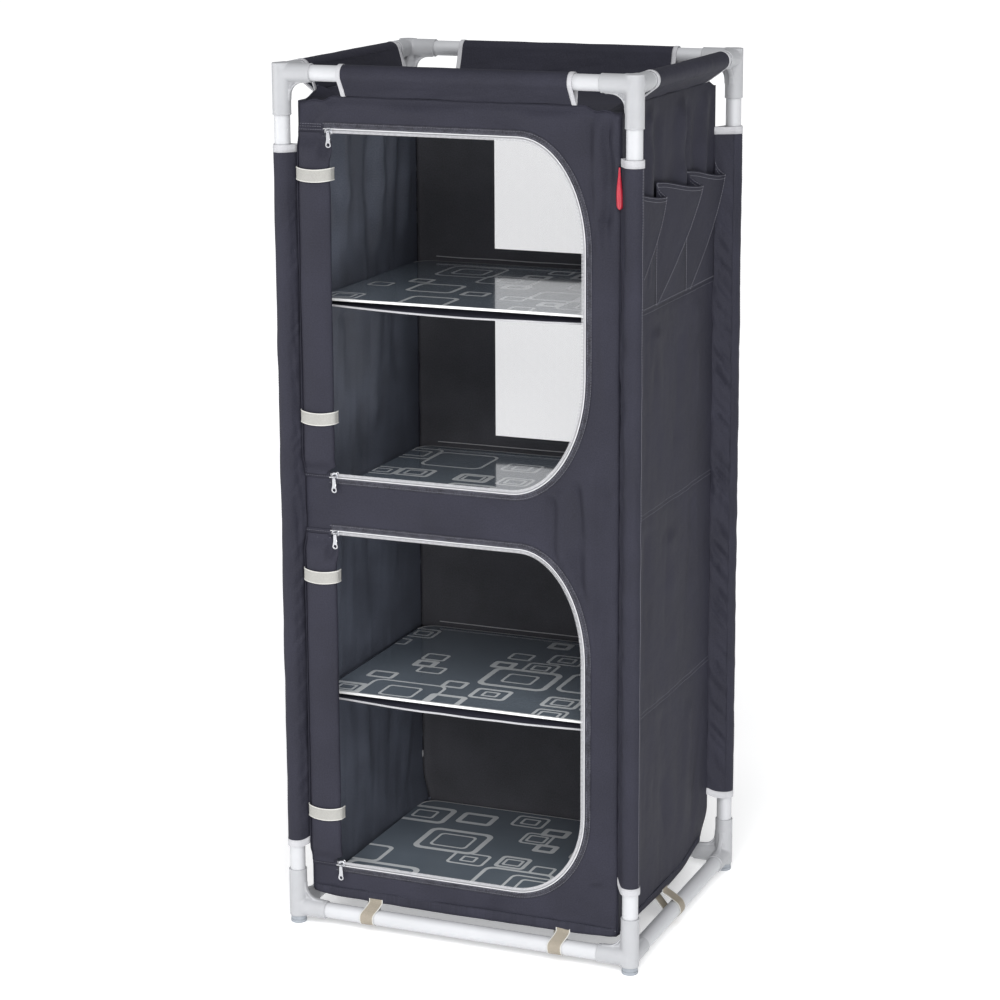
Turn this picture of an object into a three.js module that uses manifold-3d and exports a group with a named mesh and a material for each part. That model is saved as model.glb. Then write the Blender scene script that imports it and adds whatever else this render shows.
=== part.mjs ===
// A portable shelved cupboard of coated cloth, hung in a frame of aluminium tubes.
// Millimetres, +Z up. The front faces -Y, and the origin is on the floor under the middle.
import * as THREE from 'three';
import { mergeVertices } from 'three/addons/utils/BufferGeometryUtils.js';
import Module from 'manifold-3d';

const wasm = await Module();
wasm.setup();

// Frame
const overallHeight = 1400;
const legSpacingX = 575;
const legSpacingY = 475;
const tubeRadius = 12.5;
const tubeWall = 1.2;
const fitGap = 0.3;
const overrun = 5;
const tubeSides = 16;

// Corner connectors
const socketWall = 1.7;
const legSocketLength = 80;
const railSocketReach = 52;
const gussetReach = 30;
const gussetDrop = 27;
const gussetThickness = 8;
const gussetSteps = 4;

// Levelling feet
const footHeight = 12;
const footRadius = 13;
const footChamfer = 1.5;
const footGrooveDepth = 0.8;
const footRingShare = 0.42;
const footGrooveShare = 0.5;
const footStemRadius = 5;
const footStemLength = 24;
const footSides = 12;

// Cloth body, hung between the legs
const clothThickness = 1.5;
const boxInsetX = 22.5;
const boxInsetFront = 7;
const boxInsetBack = 21;
const boxTopDrop = 58;
const boxBottomRise = 58;
const panelEdgeInset = 1;

// Shelves
const shelfCount = 4;
const boardThickness = 4;
const boardSideGap = 7.5;
const boardFrontInset = 40;
const boardBackInset = 8;
const boardCornerRadius = 28;
const boardCornerSteps = 4;
const slingFrontSag = 7;
const slingFrontDrop = 5;
const slingHemReach = 30;
const slingColumns = 8;
const slingRows = 4;

// Door openings in the front panel
const openingInsetLeft = 43;
const openingInsetRight = 56;
const openingInsetTop = 42;
const openingInsetBottom = 46;
const middleSillRise = 43.7;
const middleBandHeight = 87;
const upperTopRadiusX = 108;
const upperTopRadiusZ = 168;
const upperBottomRadiusX = 122;
const upperBottomRadiusZ = 188;
const lowerTopRadiusX = 108;
const lowerTopRadiusZ = 174;
const lowerBottomRadiusX = 118;
const lowerBottomRadiusZ = 137;
const openingCornerSteps = 7;

// Zips
const chainWidth = 4;
const chainThickness = 3;
const sliderInset = 10;
const sliderLength = 13;
const sliderPlate = 1.2;
const sliderRun = 0.4;
const sliderWing = 2;
const sliderWeb = 4;
const lugWidth = 1.4;
const lugHeight = 3.6;
const lugSpacing = 6.8;
const pinRadius = 0.8;
const pinStandOff = 2.4;
const pinSides = 10;
const pullWidth = 8;
const pullLength = 24;
const pullThickness = 1.2;
const pullEyeRadius = 2;
const pullNeckLength = 3.4;
const pullHoleRadius = 1.6;
const pullSteps = 3;

// Rolled doors and their ties
const rollInset = 2;
const rollWidth = 57;
const rollHalfDepth = 9.4;
const rollEndGap = 13;
const rollEndShare = 0.74;
const rollTaperStart = 15;
const rollTaperLength = 28;
const rollWraps = 3;
const rollRidge = 0.9;
const rollSides = 24;
const rollStations = 10;
const tieHeight = 20;
const tieThickness = 1;
const tieDip = 3;
const tieSteps = 12;
const upperTieDrop = 68;
const upperTieRise = 98.5;
const lowerTieDrop = 71;
const lowerTieRise = 94;

// Rail and leg sleeves
const sleeveTailRadius = 1.6;
const sleeveSides = 12;
const sleeveTailSides = 3;
const sleeveStations = 5;
const sleeveRipple = 1.1;
const bareRailX = 42.5;
const bareRailY = 12.5;
const legSleeveDrop = 126;
const legSleeveBottom = 133;
const legTailInsetFront = 4.5;
const legTailInsetBack = 4;

// Folds of the side cloth
const sideFoldDepth = 3.2;
const sideFoldDrop = 15;
const sideFolds = 3.5;
const sideColumns = 14;
const sideRows = 6;

// Windows in the back panel
const windowHalfWidth = 122;
const windowMargin = 25;
const meshThickness = 0.8;
const meshHem = 12;

// Side pockets on the right
const pocketInsetFront = 8.5;
const pocketInsetBack = 9.5;
const pocketTopDrop = 122;
const pocketDepth = 190;
const pocketMouthDrop = 24;
const pocketBulges = [15, 26, 16];
const pocketLean = 9;
const pocketCloth = 1.2;
const pocketSeam = 1.6;
const pocketHem = 3;

// Straps round the bottom rails, and the plain side tab
const strapWidth = 24;
const strapThickness = 1.2;
const strapLap = 12;
const strapSteps = 12;
const frontStrapPlaces = [-160, 165];
const sideStrapPlaces = [-20];
const tabWidth = 11;
const tabLength = 66;
const tabThickness = 1.2;
const tabTopDrop = 12;

// Places worked out from the sizes above
const legX = legSpacingX / 2;
const legY = legSpacingY / 2;
const socketRadius = tubeRadius + fitGap + socketWall;
const boreRadius = tubeRadius + fitGap;
const topRailZ = overallHeight - socketRadius;
const bottomRailZ = footHeight + socketRadius;
const tubeStart = socketRadius + socketWall + fitGap;
const boxX = legX - boxInsetX;
const boxFront = -legY + boxInsetFront;
const boxBack = legY - boxInsetBack;
const boxTop = overallHeight - boxTopDrop;
const boxBottom = boxBottomRise;
const innerX = boxX - clothThickness;
const innerFront = boxFront + clothThickness;
const innerBack = boxBack - clothThickness;
const floorTop = boxBottom + clothThickness;
const wallX = boxX - panelEdgeInset;
const railSleeveHalfX = legX - railSocketReach - bareRailX;
const railSleeveHalfY = legY - railSocketReach - bareRailY;
const legSleeveTop = overallHeight - legSleeveDrop;
const pocketMouth = boxTop - pocketTopDrop;
const pocketBottom = pocketMouth - pocketDepth;
const sideFoldTop = pocketBottom - sideFoldDrop;

// Each board's top face
const shelfPitch = (boxTop - boxBottom + boardThickness) / shelfCount;
const firstBoardTop = floorTop + fitGap + boardThickness;
const boardTops = Array.from({ length: shelfCount }, (_, i) => firstBoardTop + i * shelfPitch);

const openingLeft = -wallX + openingInsetLeft;
const openingRight = wallX - openingInsetRight;
const middleSill = boardTops[2] + middleSillRise;
const openingSpans = [
  {
    name: 'upper',
    low: middleSill,
    high: boxTop - openingInsetTop,
    topRadius: [upperTopRadiusX, upperTopRadiusZ],
    bottomRadius: [upperBottomRadiusX, upperBottomRadiusZ],
    ties: [upperTieDrop, upperTieRise],
  },
  {
    name: 'lower',
    low: boxBottom + openingInsetBottom,
    high: middleSill - middleBandHeight,
    topRadius: [lowerTopRadiusX, lowerTopRadiusZ],
    bottomRadius: [lowerBottomRadiusX, lowerBottomRadiusZ],
    ties: [lowerTieDrop, lowerTieRise],
  },
];
const sliderX = openingLeft + sliderInset;
const rollLeft = -wallX + rollInset;
const smooth = (t) => THREE.MathUtils.smoothstep(t, 0, 1);
const lerp = THREE.MathUtils.lerp;

const materials = {
  aluminium: new THREE.MeshStandardMaterial({ color: 0xdfe0e4, roughness: 0.35, metalness: 0.8 }),
  connector: new THREE.MeshStandardMaterial({ color: 0xd8dade, roughness: 0.45, metalness: 0 }),
  foot: new THREE.MeshStandardMaterial({ color: 0xc3c8ce, roughness: 0.6, metalness: 0 }),
  cloth: new THREE.MeshStandardMaterial({ color: 0x43434c, roughness: 0.8, metalness: 0 }),
  mesh: new THREE.MeshStandardMaterial({ color: 0xebebec, roughness: 0.7, metalness: 0 }),
  board: new THREE.MeshStandardMaterial({ color: 0x4a525a, roughness: 0.2, metalness: 0 }),
  zip: new THREE.MeshStandardMaterial({ color: 0xe4e4e6, roughness: 0.5, metalness: 0 }),
  slider: new THREE.MeshStandardMaterial({ color: 0xc9cace, roughness: 0.3, metalness: 0.9 }),
  webbing: new THREE.MeshStandardMaterial({ color: 0xc6c5c0, roughness: 0.85, metalness: 0 }),
  tab: new THREE.MeshStandardMaterial({ color: 0xb8263a, roughness: 0.7, metalness: 0 }),
};

const part = new THREE.Group();

function addPiece(name, geometry, material) {
  const mesh = new THREE.Mesh(geometry, material);
  mesh.name = name;
  part.add(mesh);
  return mesh;
}

// Solids for joining and cutting
function solidOf(geometry) {
  const bare = geometry.clone();
  bare.deleteAttribute('normal');
  bare.deleteAttribute('uv');
  const merged = mergeVertices(bare);
  const vertProperties = new Float32Array(merged.attributes.position.array);
  const corners = merged.index.array;
  const kept = [];
  for (let i = 0; i < corners.length; i += 3) {
    const [a, b, c] = [corners[i], corners[i + 1], corners[i + 2]];
    if (a !== b && b !== c && c !== a) kept.push(a, b, c);
  }
  const triVerts = new Uint32Array(kept);
  return new wasm.Manifold(new wasm.Mesh({ numProp: 3, vertProperties, triVerts }));
}

function geometryOf(solid) {
  const mesh = solid.getMesh();
  const geometry = new THREE.BufferGeometry();
  geometry.setAttribute('position', new THREE.BufferAttribute(mesh.vertProperties, 3));
  geometry.setIndex(new THREE.BufferAttribute(mesh.triVerts, 1));
  return geometry;
}

function joined(geometries) {
  return geometries.map(solidOf).reduce((sum, solid) => sum.add(solid));
}

function cutFrom(solid, geometries) {
  return geometries.map(solidOf).reduce((rest, tool) => rest.subtract(tool), solid);
}

// A closed mesh from points and triangles, turned so that its faces point out
function closedGeometry(points, triangles) {
  let volume = 0;
  const cross = new THREE.Vector3();
  for (const [a, b, c] of triangles) {
    volume += points[a].dot(cross.crossVectors(points[b], points[c]));
  }
  const index = triangles.flatMap(([a, b, c]) => (volume < 0 ? [a, c, b] : [a, b, c]));
  const geometry = new THREE.BufferGeometry();
  geometry.setAttribute('position', new THREE.Float32BufferAttribute(points.flatMap((p) => p.toArray()), 3));
  geometry.setIndex(index);
  return geometry;
}

function box(sizeX, sizeY, sizeZ, x, y, z) {
  return new THREE.BoxGeometry(sizeX, sizeY, sizeZ).translate(x, y, z);
}

// A cloth sheet: place(u, v) gives a point of one face, and offset leads to the other face
function clothSheet(columns, rows, place, offset) {
  const points = [];
  for (const side of [0, 1]) {
    for (let row = 0; row <= rows; row++) {
      for (let column = 0; column <= columns; column++) {
        points.push(place(column / columns, row / rows).addScaledVector(offset, side));
      }
    }
  }
  const layer = (columns + 1) * (rows + 1);
  const at = (column, row, side) => side * layer + row * (columns + 1) + column;
  const triangles = [];
  const quad = (a, b, c, d) => triangles.push([a, b, c], [a, c, d]);
  for (let row = 0; row < rows; row++) {
    for (let column = 0; column < columns; column++) {
      quad(at(column, row, 0), at(column, row + 1, 0), at(column + 1, row + 1, 0), at(column + 1, row, 0));
      quad(at(column, row, 1), at(column + 1, row, 1), at(column + 1, row + 1, 1), at(column, row + 1, 1));
    }
  }
  for (let column = 0; column < columns; column++) {
    quad(at(column, 0, 0), at(column + 1, 0, 0), at(column + 1, 0, 1), at(column, 0, 1));
    quad(at(column + 1, rows, 0), at(column, rows, 0), at(column, rows, 1), at(column + 1, rows, 1));
  }
  for (let row = 0; row < rows; row++) {
    quad(at(0, row + 1, 0), at(0, row, 0), at(0, row, 1), at(0, row + 1, 1));
    quad(at(columns, row, 0), at(columns, row + 1, 0), at(columns, row + 1, 1), at(columns, row, 1));
  }
  return closedGeometry(points, triangles);
}

// A hollow run of loops: each station has an outer loop and an inner loop of as many points
function hollowRun(stations) {
  const count = stations[0].outer.length;
  const points = stations.flatMap(({ outer, inner }) => [...outer, ...inner]);
  const at = (station, layer, i) => (station * 2 + layer) * count + (i % count);
  const triangles = [];
  const quad = (a, b, c, d) => triangles.push([a, b, c], [a, c, d]);
  for (let i = 0; i < count; i++) {
    for (let s = 0; s + 1 < stations.length; s++) {
      quad(at(s, 0, i), at(s, 0, i + 1), at(s + 1, 0, i + 1), at(s + 1, 0, i));
      quad(at(s, 1, i + 1), at(s, 1, i), at(s + 1, 1, i), at(s + 1, 1, i + 1));
    }
    const last = stations.length - 1;
    quad(at(0, 0, i + 1), at(0, 0, i), at(0, 1, i), at(0, 1, i + 1));
    quad(at(last, 0, i), at(last, 0, i + 1), at(last, 1, i + 1), at(last, 1, i));
  }
  return closedGeometry(points, triangles);
}

// A solid run of rings, closed by a fan at each end
function solidRun(rings) {
  const count = rings[0].length;
  const points = rings.flat();
  const middle = (ring) => ring.reduce((sum, p) => sum.add(p), new THREE.Vector3()).divideScalar(count);
  points.push(middle(rings[0]), middle(rings[rings.length - 1]));
  const at = (ring, i) => ring * count + (i % count);
  const triangles = [];
  for (let i = 0; i < count; i++) {
    for (let r = 0; r + 1 < rings.length; r++) {
      triangles.push([at(r, i), at(r, i + 1), at(r + 1, i + 1)], [at(r, i), at(r + 1, i + 1), at(r + 1, i)]);
    }
    triangles.push([points.length - 2, at(0, i + 1), at(0, i)]);
    triangles.push([points.length - 1, at(rings.length - 1, i), at(rings.length - 1, i + 1)]);
  }
  return closedGeometry(points, triangles);
}

function extruded(shape, depth, curveSegments) {
  return new THREE.ExtrudeGeometry(shape, { depth, bevelEnabled: false, curveSegments });
}

// Frame: tubes, connectors and feet
function tube(length) {
  const ring = new THREE.Shape().absarc(0, 0, tubeRadius, 0, 2 * Math.PI);
  ring.holes.push(new THREE.Path().absarc(0, 0, tubeRadius - tubeWall, 0, 2 * Math.PI));
  return extruded(ring, length, tubeSides / 2);
}

function rod(radius, length, sides) {
  return new THREE.CylinderGeometry(radius, radius, length, sides).translate(0, length / 2, 0);
}

// A gusset in the corner between the leg socket and a rail socket, drawn with the leg along Y
function gusset(railSign, legSign) {
  const reach = railSign * (socketRadius + gussetReach);
  const drop = legSign * (socketRadius + gussetDrop);
  const nearX = railSign * socketRadius;
  const nearY = legSign * socketRadius;
  const web = new THREE.Shape();
  web.moveTo(0, 0);
  web.lineTo(reach, 0);
  web.lineTo(reach, nearY);
  web.quadraticCurveTo(nearX, nearY, nearX, drop);
  web.lineTo(0, drop);
  return extruded(web, gussetThickness, gussetSteps).translate(0, 0, -gussetThickness / 2);
}

// signX and signY lead from the leg to its rails, and signZ leads along the leg
function connector(signX, signY, signZ) {
  const legPart = rod(socketRadius, legSocketLength, tubeSides).translate(0, -socketRadius, 0);
  legPart.rotateX(signZ * Math.PI / 2);
  const alongX = (geometry) => geometry.rotateZ(-signX * Math.PI / 2);
  const alongY = (geometry) => (signY > 0 ? geometry : geometry.rotateZ(Math.PI));
  const railX = alongX(rod(socketRadius, railSocketReach, tubeSides));
  const railY = alongY(rod(socketRadius, railSocketReach, tubeSides));
  const webX = gusset(signX, signZ).rotateX(Math.PI / 2);
  const webY = gusset(signY, signZ).rotateX(Math.PI / 2).rotateZ(Math.PI / 2);
  const body = joined([legPart, railX, railY, webX, webY]);
  const boreStart = socketRadius + socketWall;
  const bore = (mouth) => rod(boreRadius, mouth - boreStart + overrun, tubeSides).translate(0, boreStart, 0);
  const bores = [
    bore(legSocketLength - socketRadius).rotateX(signZ * Math.PI / 2),
    alongX(bore(railSocketReach)),
    alongY(bore(railSocketReach)),
  ];
  if (signZ > 0) {
    const stemBore = rod(footStemRadius + fitGap, footStemLength + overrun, footSides);
    bores.push(stemBore.translate(0, -socketRadius - overrun, 0).rotateX(Math.PI / 2));
  }
  return geometryOf(cutFrom(body, bores));
}

function foot() {
  const rim = footRadius - footChamfer;
  const top = footHeight - fitGap;
  const groove = footRadius - footGrooveDepth;
  const profile = [
    [0, 0], [rim, 0], [footRadius, footChamfer], [footRadius, footHeight * footRingShare],
    [groove, footHeight * footGrooveShare], [groove, top], [footStemRadius, top],
    [footStemRadius, top + footStemLength - 2 * fitGap], [0, top + footStemLength - 2 * fitGap],
  ];
  const lathe = new THREE.LatheGeometry(profile.map(([r, z]) => new THREE.Vector2(r, z)), footSides);
  return geometryOf(solidOf(lathe.rotateX(Math.PI / 2)));
}

const corners = [
  { name: 'front_left', x: -1, y: -1 },
  { name: 'front_right', x: 1, y: -1 },
  { name: 'back_left', x: -1, y: 1 },
  { name: 'back_right', x: 1, y: 1 },
];

for (const corner of corners) {
  const x = corner.x * legX;
  const y = corner.y * legY;
  const legLength = topRailZ - bottomRailZ - 2 * tubeStart;
  addPiece(`leg_${corner.name}`, tube(legLength), materials.aluminium)
    .position.set(x, y, bottomRailZ + tubeStart);
  addPiece(`top_connector_${corner.name}`, connector(-corner.x, -corner.y, -1), materials.connector)
    .position.set(x, y, topRailZ);
  addPiece(`bottom_connector_${corner.name}`, connector(-corner.x, -corner.y, 1), materials.connector)
    .position.set(x, y, bottomRailZ);
  addPiece(`foot_${corner.name}`, foot(), materials.foot).position.set(x, y, 0);
}

for (const [level, z] of [['top', topRailZ], ['bottom', bottomRailZ]]) {
  for (const [side, sign] of [['front', -1], ['back', 1]]) {
    const length = legSpacingX - 2 * tubeStart;
    addPiece(`${level}_rail_${side}`, tube(length).rotateY(Math.PI / 2), materials.aluminium)
      .position.set(-length / 2, sign * legY, z);
  }
  for (const [side, sign] of [['left', -1], ['right', 1]]) {
    const length = legSpacingY - 2 * tubeStart;
    addPiece(`${level}_rail_${side}`, tube(length).rotateX(-Math.PI / 2), materials.aluminium)
      .position.set(sign * legX, -length / 2, z);
  }
}

// A teardrop loop round a tube at the origin, drawn in to a tail: grow leads to its outer face
function teardrop(tailX, tailY, grow, ripple) {
  const origin = new THREE.Vector2();
  const tail = new THREE.Vector2(tailX, tailY);
  const radius = tubeRadius + fitGap + grow;
  const tailRadius = sleeveTailRadius - clothThickness + grow;
  const toTail = Math.atan2(tailY, tailX);
  const tangent = Math.acos((radius - tailRadius) / tail.length());
  const onCircle = (centre, size, angle) => new THREE.Vector2(
    centre.x + size * Math.cos(angle), centre.y + size * Math.sin(angle));
  const arc = (centre, size, from, to, steps) => Array.from(
    { length: steps + 1 }, (_, i) => onCircle(centre, size, lerp(from, to, i / steps)));
  const flank = (angle) => onCircle(tail.clone().divideScalar(2), (radius + tailRadius) / 2 + ripple, angle);
  return [
    ...arc(origin, radius, toTail + tangent, toTail + 2 * Math.PI - tangent, sleeveSides),
    flank(toTail - tangent),
    ...arc(tail, tailRadius, toTail - tangent, toTail + tangent, sleeveTailSides),
    flank(toTail + tangent),
  ];
}

// The loop follows a straight run from start to end; across and up span its section
function sleeve(start, end, across, up, tailAcross, tailUp) {
  const stations = [];
  for (let s = 0; s <= sleeveStations; s++) {
    const share = s / sleeveStations;
    const ripple = sleeveRipple * Math.sin(Math.PI * share) * Math.cos(3 * Math.PI * share) ** 2;
    const centre = start.clone().lerp(end, share);
    const lift = (p) => centre.clone().addScaledVector(across, p.x).addScaledVector(up, p.y);
    stations.push({
      outer: teardrop(tailAcross, tailUp, clothThickness, ripple).map(lift),
      inner: teardrop(tailAcross, tailUp, 0, ripple).map(lift),
    });
  }
  return hollowRun(stations);
}

const unitX = new THREE.Vector3(1, 0, 0);
const unitY = new THREE.Vector3(0, 1, 0);
const unitZ = new THREE.Vector3(0, 0, 1);
const tailZ = boxTop + fitGap + sleeveTailRadius - topRailZ;

for (const [side, sign, wall] of [['front', -1, -boxFront], ['back', 1, boxBack]]) {
  const y = sign * legY;
  const wallY = sign * (wall - clothThickness / 2);
  const start = new THREE.Vector3(-railSleeveHalfX, y, topRailZ);
  const end = new THREE.Vector3(railSleeveHalfX, y, topRailZ);
  addPiece(`rail_sleeve_${side}`, sleeve(start, end, unitY, unitZ, wallY - y, tailZ), materials.cloth);
}
for (const [side, sign] of [['left', -1], ['right', 1]]) {
  const start = new THREE.Vector3(sign * legX, -railSleeveHalfY, topRailZ);
  const end = new THREE.Vector3(sign * legX, railSleeveHalfY, topRailZ);
  const tail = sign * (boxX - clothThickness / 2 - legX);
  addPiece(`rail_sleeve_${side}`, sleeve(start, end, unitX, unitZ, tail, tailZ), materials.cloth);
}

// Side panels, each sewn to the sleeves of its two legs
function sidePanel(sign) {
  const front = innerFront + fitGap;
  const back = innerBack - fitGap;
  const foldedShare = (sideRows - 1) / sideRows;
  const place = (u, v) => {
    const share = Math.min(v / foldedShare, 1);
    const z = v > foldedShare ? boxTop : lerp(boxBottom, sideFoldTop, share);
    const slack = Math.sin(Math.PI * share) * Math.sin(Math.PI * u);
    const fold = sideFoldDepth * slack * (1 + Math.cos(2 * Math.PI * sideFolds * u + share)) / 2;
    return new THREE.Vector3(sign * (innerX + fold), lerp(front, back, u), z);
  };
  const sheet = clothSheet(sideColumns, sideRows, place, new THREE.Vector3(sign * clothThickness, 0, 0));
  const sleeves = [
    [-legY, boxFront + legTailInsetFront],
    [legY, boxBack - legTailInsetBack],
  ].map(([y, tailY]) => {
    const start = new THREE.Vector3(sign * legX, y, legSleeveBottom);
    const end = new THREE.Vector3(sign * legX, y, legSleeveTop);
    return sleeve(start, end, unitX, unitY, sign * (boxX + fitGap - legX), tailY - y);
  });
  return geometryOf(joined([sheet, ...sleeves]));
}
addPiece('side_panel_left', sidePanel(-1), materials.cloth);
addPiece('side_panel_right', sidePanel(1), materials.cloth);

// Half of an opening's edge as points from its top left to its bottom left, moved in by inset
function openingEdge(span, inset) {
  const right = openingRight - inset;
  const top = span.high - inset;
  const bottom = span.low + inset;
  const [topX, topZ] = span.topRadius.map((r) => r - inset);
  const [bottomX, bottomZ] = span.bottomRadius.map((r) => r - inset);
  const edge = [new THREE.Vector2(openingLeft + inset, top)];
  for (let i = 0; i <= openingCornerSteps; i++) {
    const angle = (Math.PI / 2) * (1 - i / openingCornerSteps);
    const x = right - topX + topX * Math.cos(angle);
    edge.push(new THREE.Vector2(x, top - topZ + topZ * Math.sin(angle)));
  }
  for (let i = 0; i <= openingCornerSteps; i++) {
    const angle = (-Math.PI / 2) * (i / openingCornerSteps);
    const x = right - bottomX + bottomX * Math.cos(angle);
    edge.push(new THREE.Vector2(x, bottom + bottomZ + bottomZ * Math.sin(angle)));
  }
  edge.push(new THREE.Vector2(openingLeft + inset, bottom));
  return edge;
}

function rectangle(left, right, low, high) {
  return [[left, low], [right, low], [right, high], [left, high]].map(([x, z]) => new THREE.Vector2(x, z));
}

// A flat sheet across Y with holes, its outer face at y
function sheetAcrossY(outline, holes, y, thickness) {
  const shape = new THREE.Shape(outline);
  shape.holes = holes.map((hole) => new THREE.Path(hole));
  return extruded(shape, thickness, 1).rotateX(Math.PI / 2).translate(0, y, 0);
}

const frontOutline = rectangle(-wallX, wallX, boxBottom, boxTop);
const doorHoles = openingSpans.map((span) => openingEdge(span, 0));
const frontSheet = sheetAcrossY(frontOutline, doorHoles, innerFront, clothThickness);
addPiece('front_panel', frontSheet, materials.cloth);

const windowSpans = [2, 3].map((i) => {
  const roof = i + 1 < shelfCount ? boardTops[i + 1] - boardThickness - clothThickness : boxTop;
  return [boardTops[i] + windowMargin, roof - windowMargin];
});
const windowX = windowHalfWidth;
const windowHoles = windowSpans.map(([low, high]) => rectangle(-windowX, windowX, low, high));
const backSheet = sheetAcrossY(frontOutline, windowHoles, boxBack, clothThickness);
addPiece('back_panel', backSheet, materials.cloth);
const meshX = windowX + meshHem;
const meshOutline = rectangle(-meshX, meshX, windowSpans[0][0] - meshHem, windowSpans[1][1] + meshHem);
const meshSheet = sheetAcrossY(meshOutline, [], boxBack + fitGap + meshThickness, meshThickness);
addPiece('mesh_window', meshSheet, materials.mesh);

const sheetX = innerX - fitGap;
const sheetFront = innerFront + fitGap;
const sheetBack = innerBack - fitGap;
const sheetDepth = sheetBack - sheetFront;
const sheetMiddle = (sheetFront + sheetBack) / 2;
const topSheet = box(2 * sheetX, sheetDepth, clothThickness, 0, sheetMiddle, boxTop - clothThickness / 2);
addPiece('top_panel', topSheet, materials.cloth);

// A strap from under the floor, round the rail, and up the outer face of the wall, as points
// in the plane across the rail: X leads from the box to the rail, and Y is the height
function strapPath(wallOut, railOut) {
  const radius = tubeRadius + fitGap + strapThickness / 2;
  const rail = new THREE.Vector2(railOut, bottomRailZ);
  const start = new THREE.Vector2(wallOut - strapLap, boxBottom + clothThickness / 2);
  const end = new THREE.Vector2(wallOut + fitGap + strapThickness / 2, boxBottom);
  const tangent = (point, side) => {
    const toPoint = point.clone().sub(rail);
    return toPoint.angle() + side * Math.acos(radius / toPoint.length());
  };
  const from = tangent(start, 1);
  const to = tangent(end, -1) + 2 * Math.PI;
  const path = [start];
  for (let i = 0; i <= strapSteps; i++) {
    const angle = lerp(from, to, i / strapSteps);
    path.push(new THREE.Vector2(radius * Math.cos(angle), radius * Math.sin(angle)).add(rail));
  }
  path.push(end, end.clone().setY(boxBottom + strapLap));
  return path;
}

// The two faces of a band along a path, as points on both sides of it
function bandOutline(path, thickness) {
  const sides = [[], []];
  path.forEach((point, i) => {
    const before = path[Math.max(i - 1, 0)];
    const after = path[Math.min(i + 1, path.length - 1)];
    const along = after.clone().sub(before).normalize();
    const square = new THREE.Vector2(-along.y, along.x);
    sides[0].push(point.clone().addScaledVector(square, thickness / 2));
    sides[1].push(point.clone().addScaledVector(square, -thickness / 2));
  });
  return [...sides[0], ...sides[1].reverse()];
}

function strap(wallOut, railOut) {
  const outline = new THREE.Shape(bandOutline(strapPath(wallOut, railOut), strapThickness));
  return extruded(outline, strapWidth, 1).translate(0, 0, -strapWidth / 2).rotateX(Math.PI / 2);
}

function floorPanel() {
  const sheet = box(2 * sheetX, sheetDepth, clothThickness, 0, sheetMiddle, boxBottom + clothThickness / 2);
  const straps = [];
  for (const place of frontStrapPlaces) {
    straps.push(strap(-boxFront, legY).rotateZ(-Math.PI / 2).translate(place, 0, 0));
    straps.push(strap(boxBack, legY).rotateZ(Math.PI / 2).translate(place, 0, 0));
  }
  for (const place of sideStrapPlaces) {
    straps.push(strap(boxX, legX).translate(0, place, 0));
    straps.push(strap(boxX, legX).rotateZ(Math.PI).translate(0, place, 0));
  }
  return geometryOf(joined([sheet, ...straps]));
}
addPiece('floor_panel', floorPanel(), materials.cloth);

// Boards, and the cloth slings that carry the upper three
const boardFront = boxFront + boardFrontInset;
const boardBack = innerBack - boardBackInset;

function board() {
  const half = innerX - boardSideGap;
  const radius = boardCornerRadius;
  const shape = new THREE.Shape();
  shape.moveTo(-half, boardFront);
  shape.lineTo(half, boardFront);
  shape.lineTo(half, boardBack - radius);
  shape.absarc(half - radius, boardBack - radius, radius, 0, Math.PI / 2);
  shape.absarc(-half + radius, boardBack - radius, radius, Math.PI / 2, Math.PI);
  return extruded(shape, boardThickness, boardCornerSteps / 2);
}

function sling(boardTop) {
  const z = boardTop - boardThickness - fitGap - clothThickness;
  const place = (u, v) => {
    const y = lerp(boardFront - clothThickness, sheetBack, v * v);
    const hem = 1 - smooth((y - boardFront + clothThickness) / slingHemReach);
    const sag = slingFrontSag * Math.sin(Math.PI * u) + slingFrontDrop;
    return new THREE.Vector3(lerp(-sheetX, sheetX, u), y, z - sag * hem);
  };
  return clothSheet(slingColumns, slingRows, place, new THREE.Vector3(0, 0, clothThickness));
}
const shelfNames = ['bottom', 'lower', 'middle', 'upper'];
shelfNames.forEach((name, i) => {
  addPiece(`shelf_board_${name}`, board(), materials.board).position.z = boardTops[i] - boardThickness;
  if (i > 0) {
    addPiece(`shelf_sling_${name}`, sling(boardTops[i]), materials.cloth);
  }
});

// Zips: one half chain round each opening, with a slider at each end
function zipChain(span) {
  const outer = openingEdge(span, fitGap);
  const inner = openingEdge(span, fitGap + chainWidth);
  inner[0].x = outer[0].x;
  inner[inner.length - 1].x = outer[0].x;
  const back = boxFront + (clothThickness + chainThickness) / 2;
  return sheetAcrossY([...outer, ...inner.reverse()], [], back, chainThickness);
}

const channelDepth = chainThickness + 2 * sliderRun;
const sliderDepth = channelDepth + 2 * sliderPlate;
const pinY = -sliderDepth / 2 - pinStandOff;

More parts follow.
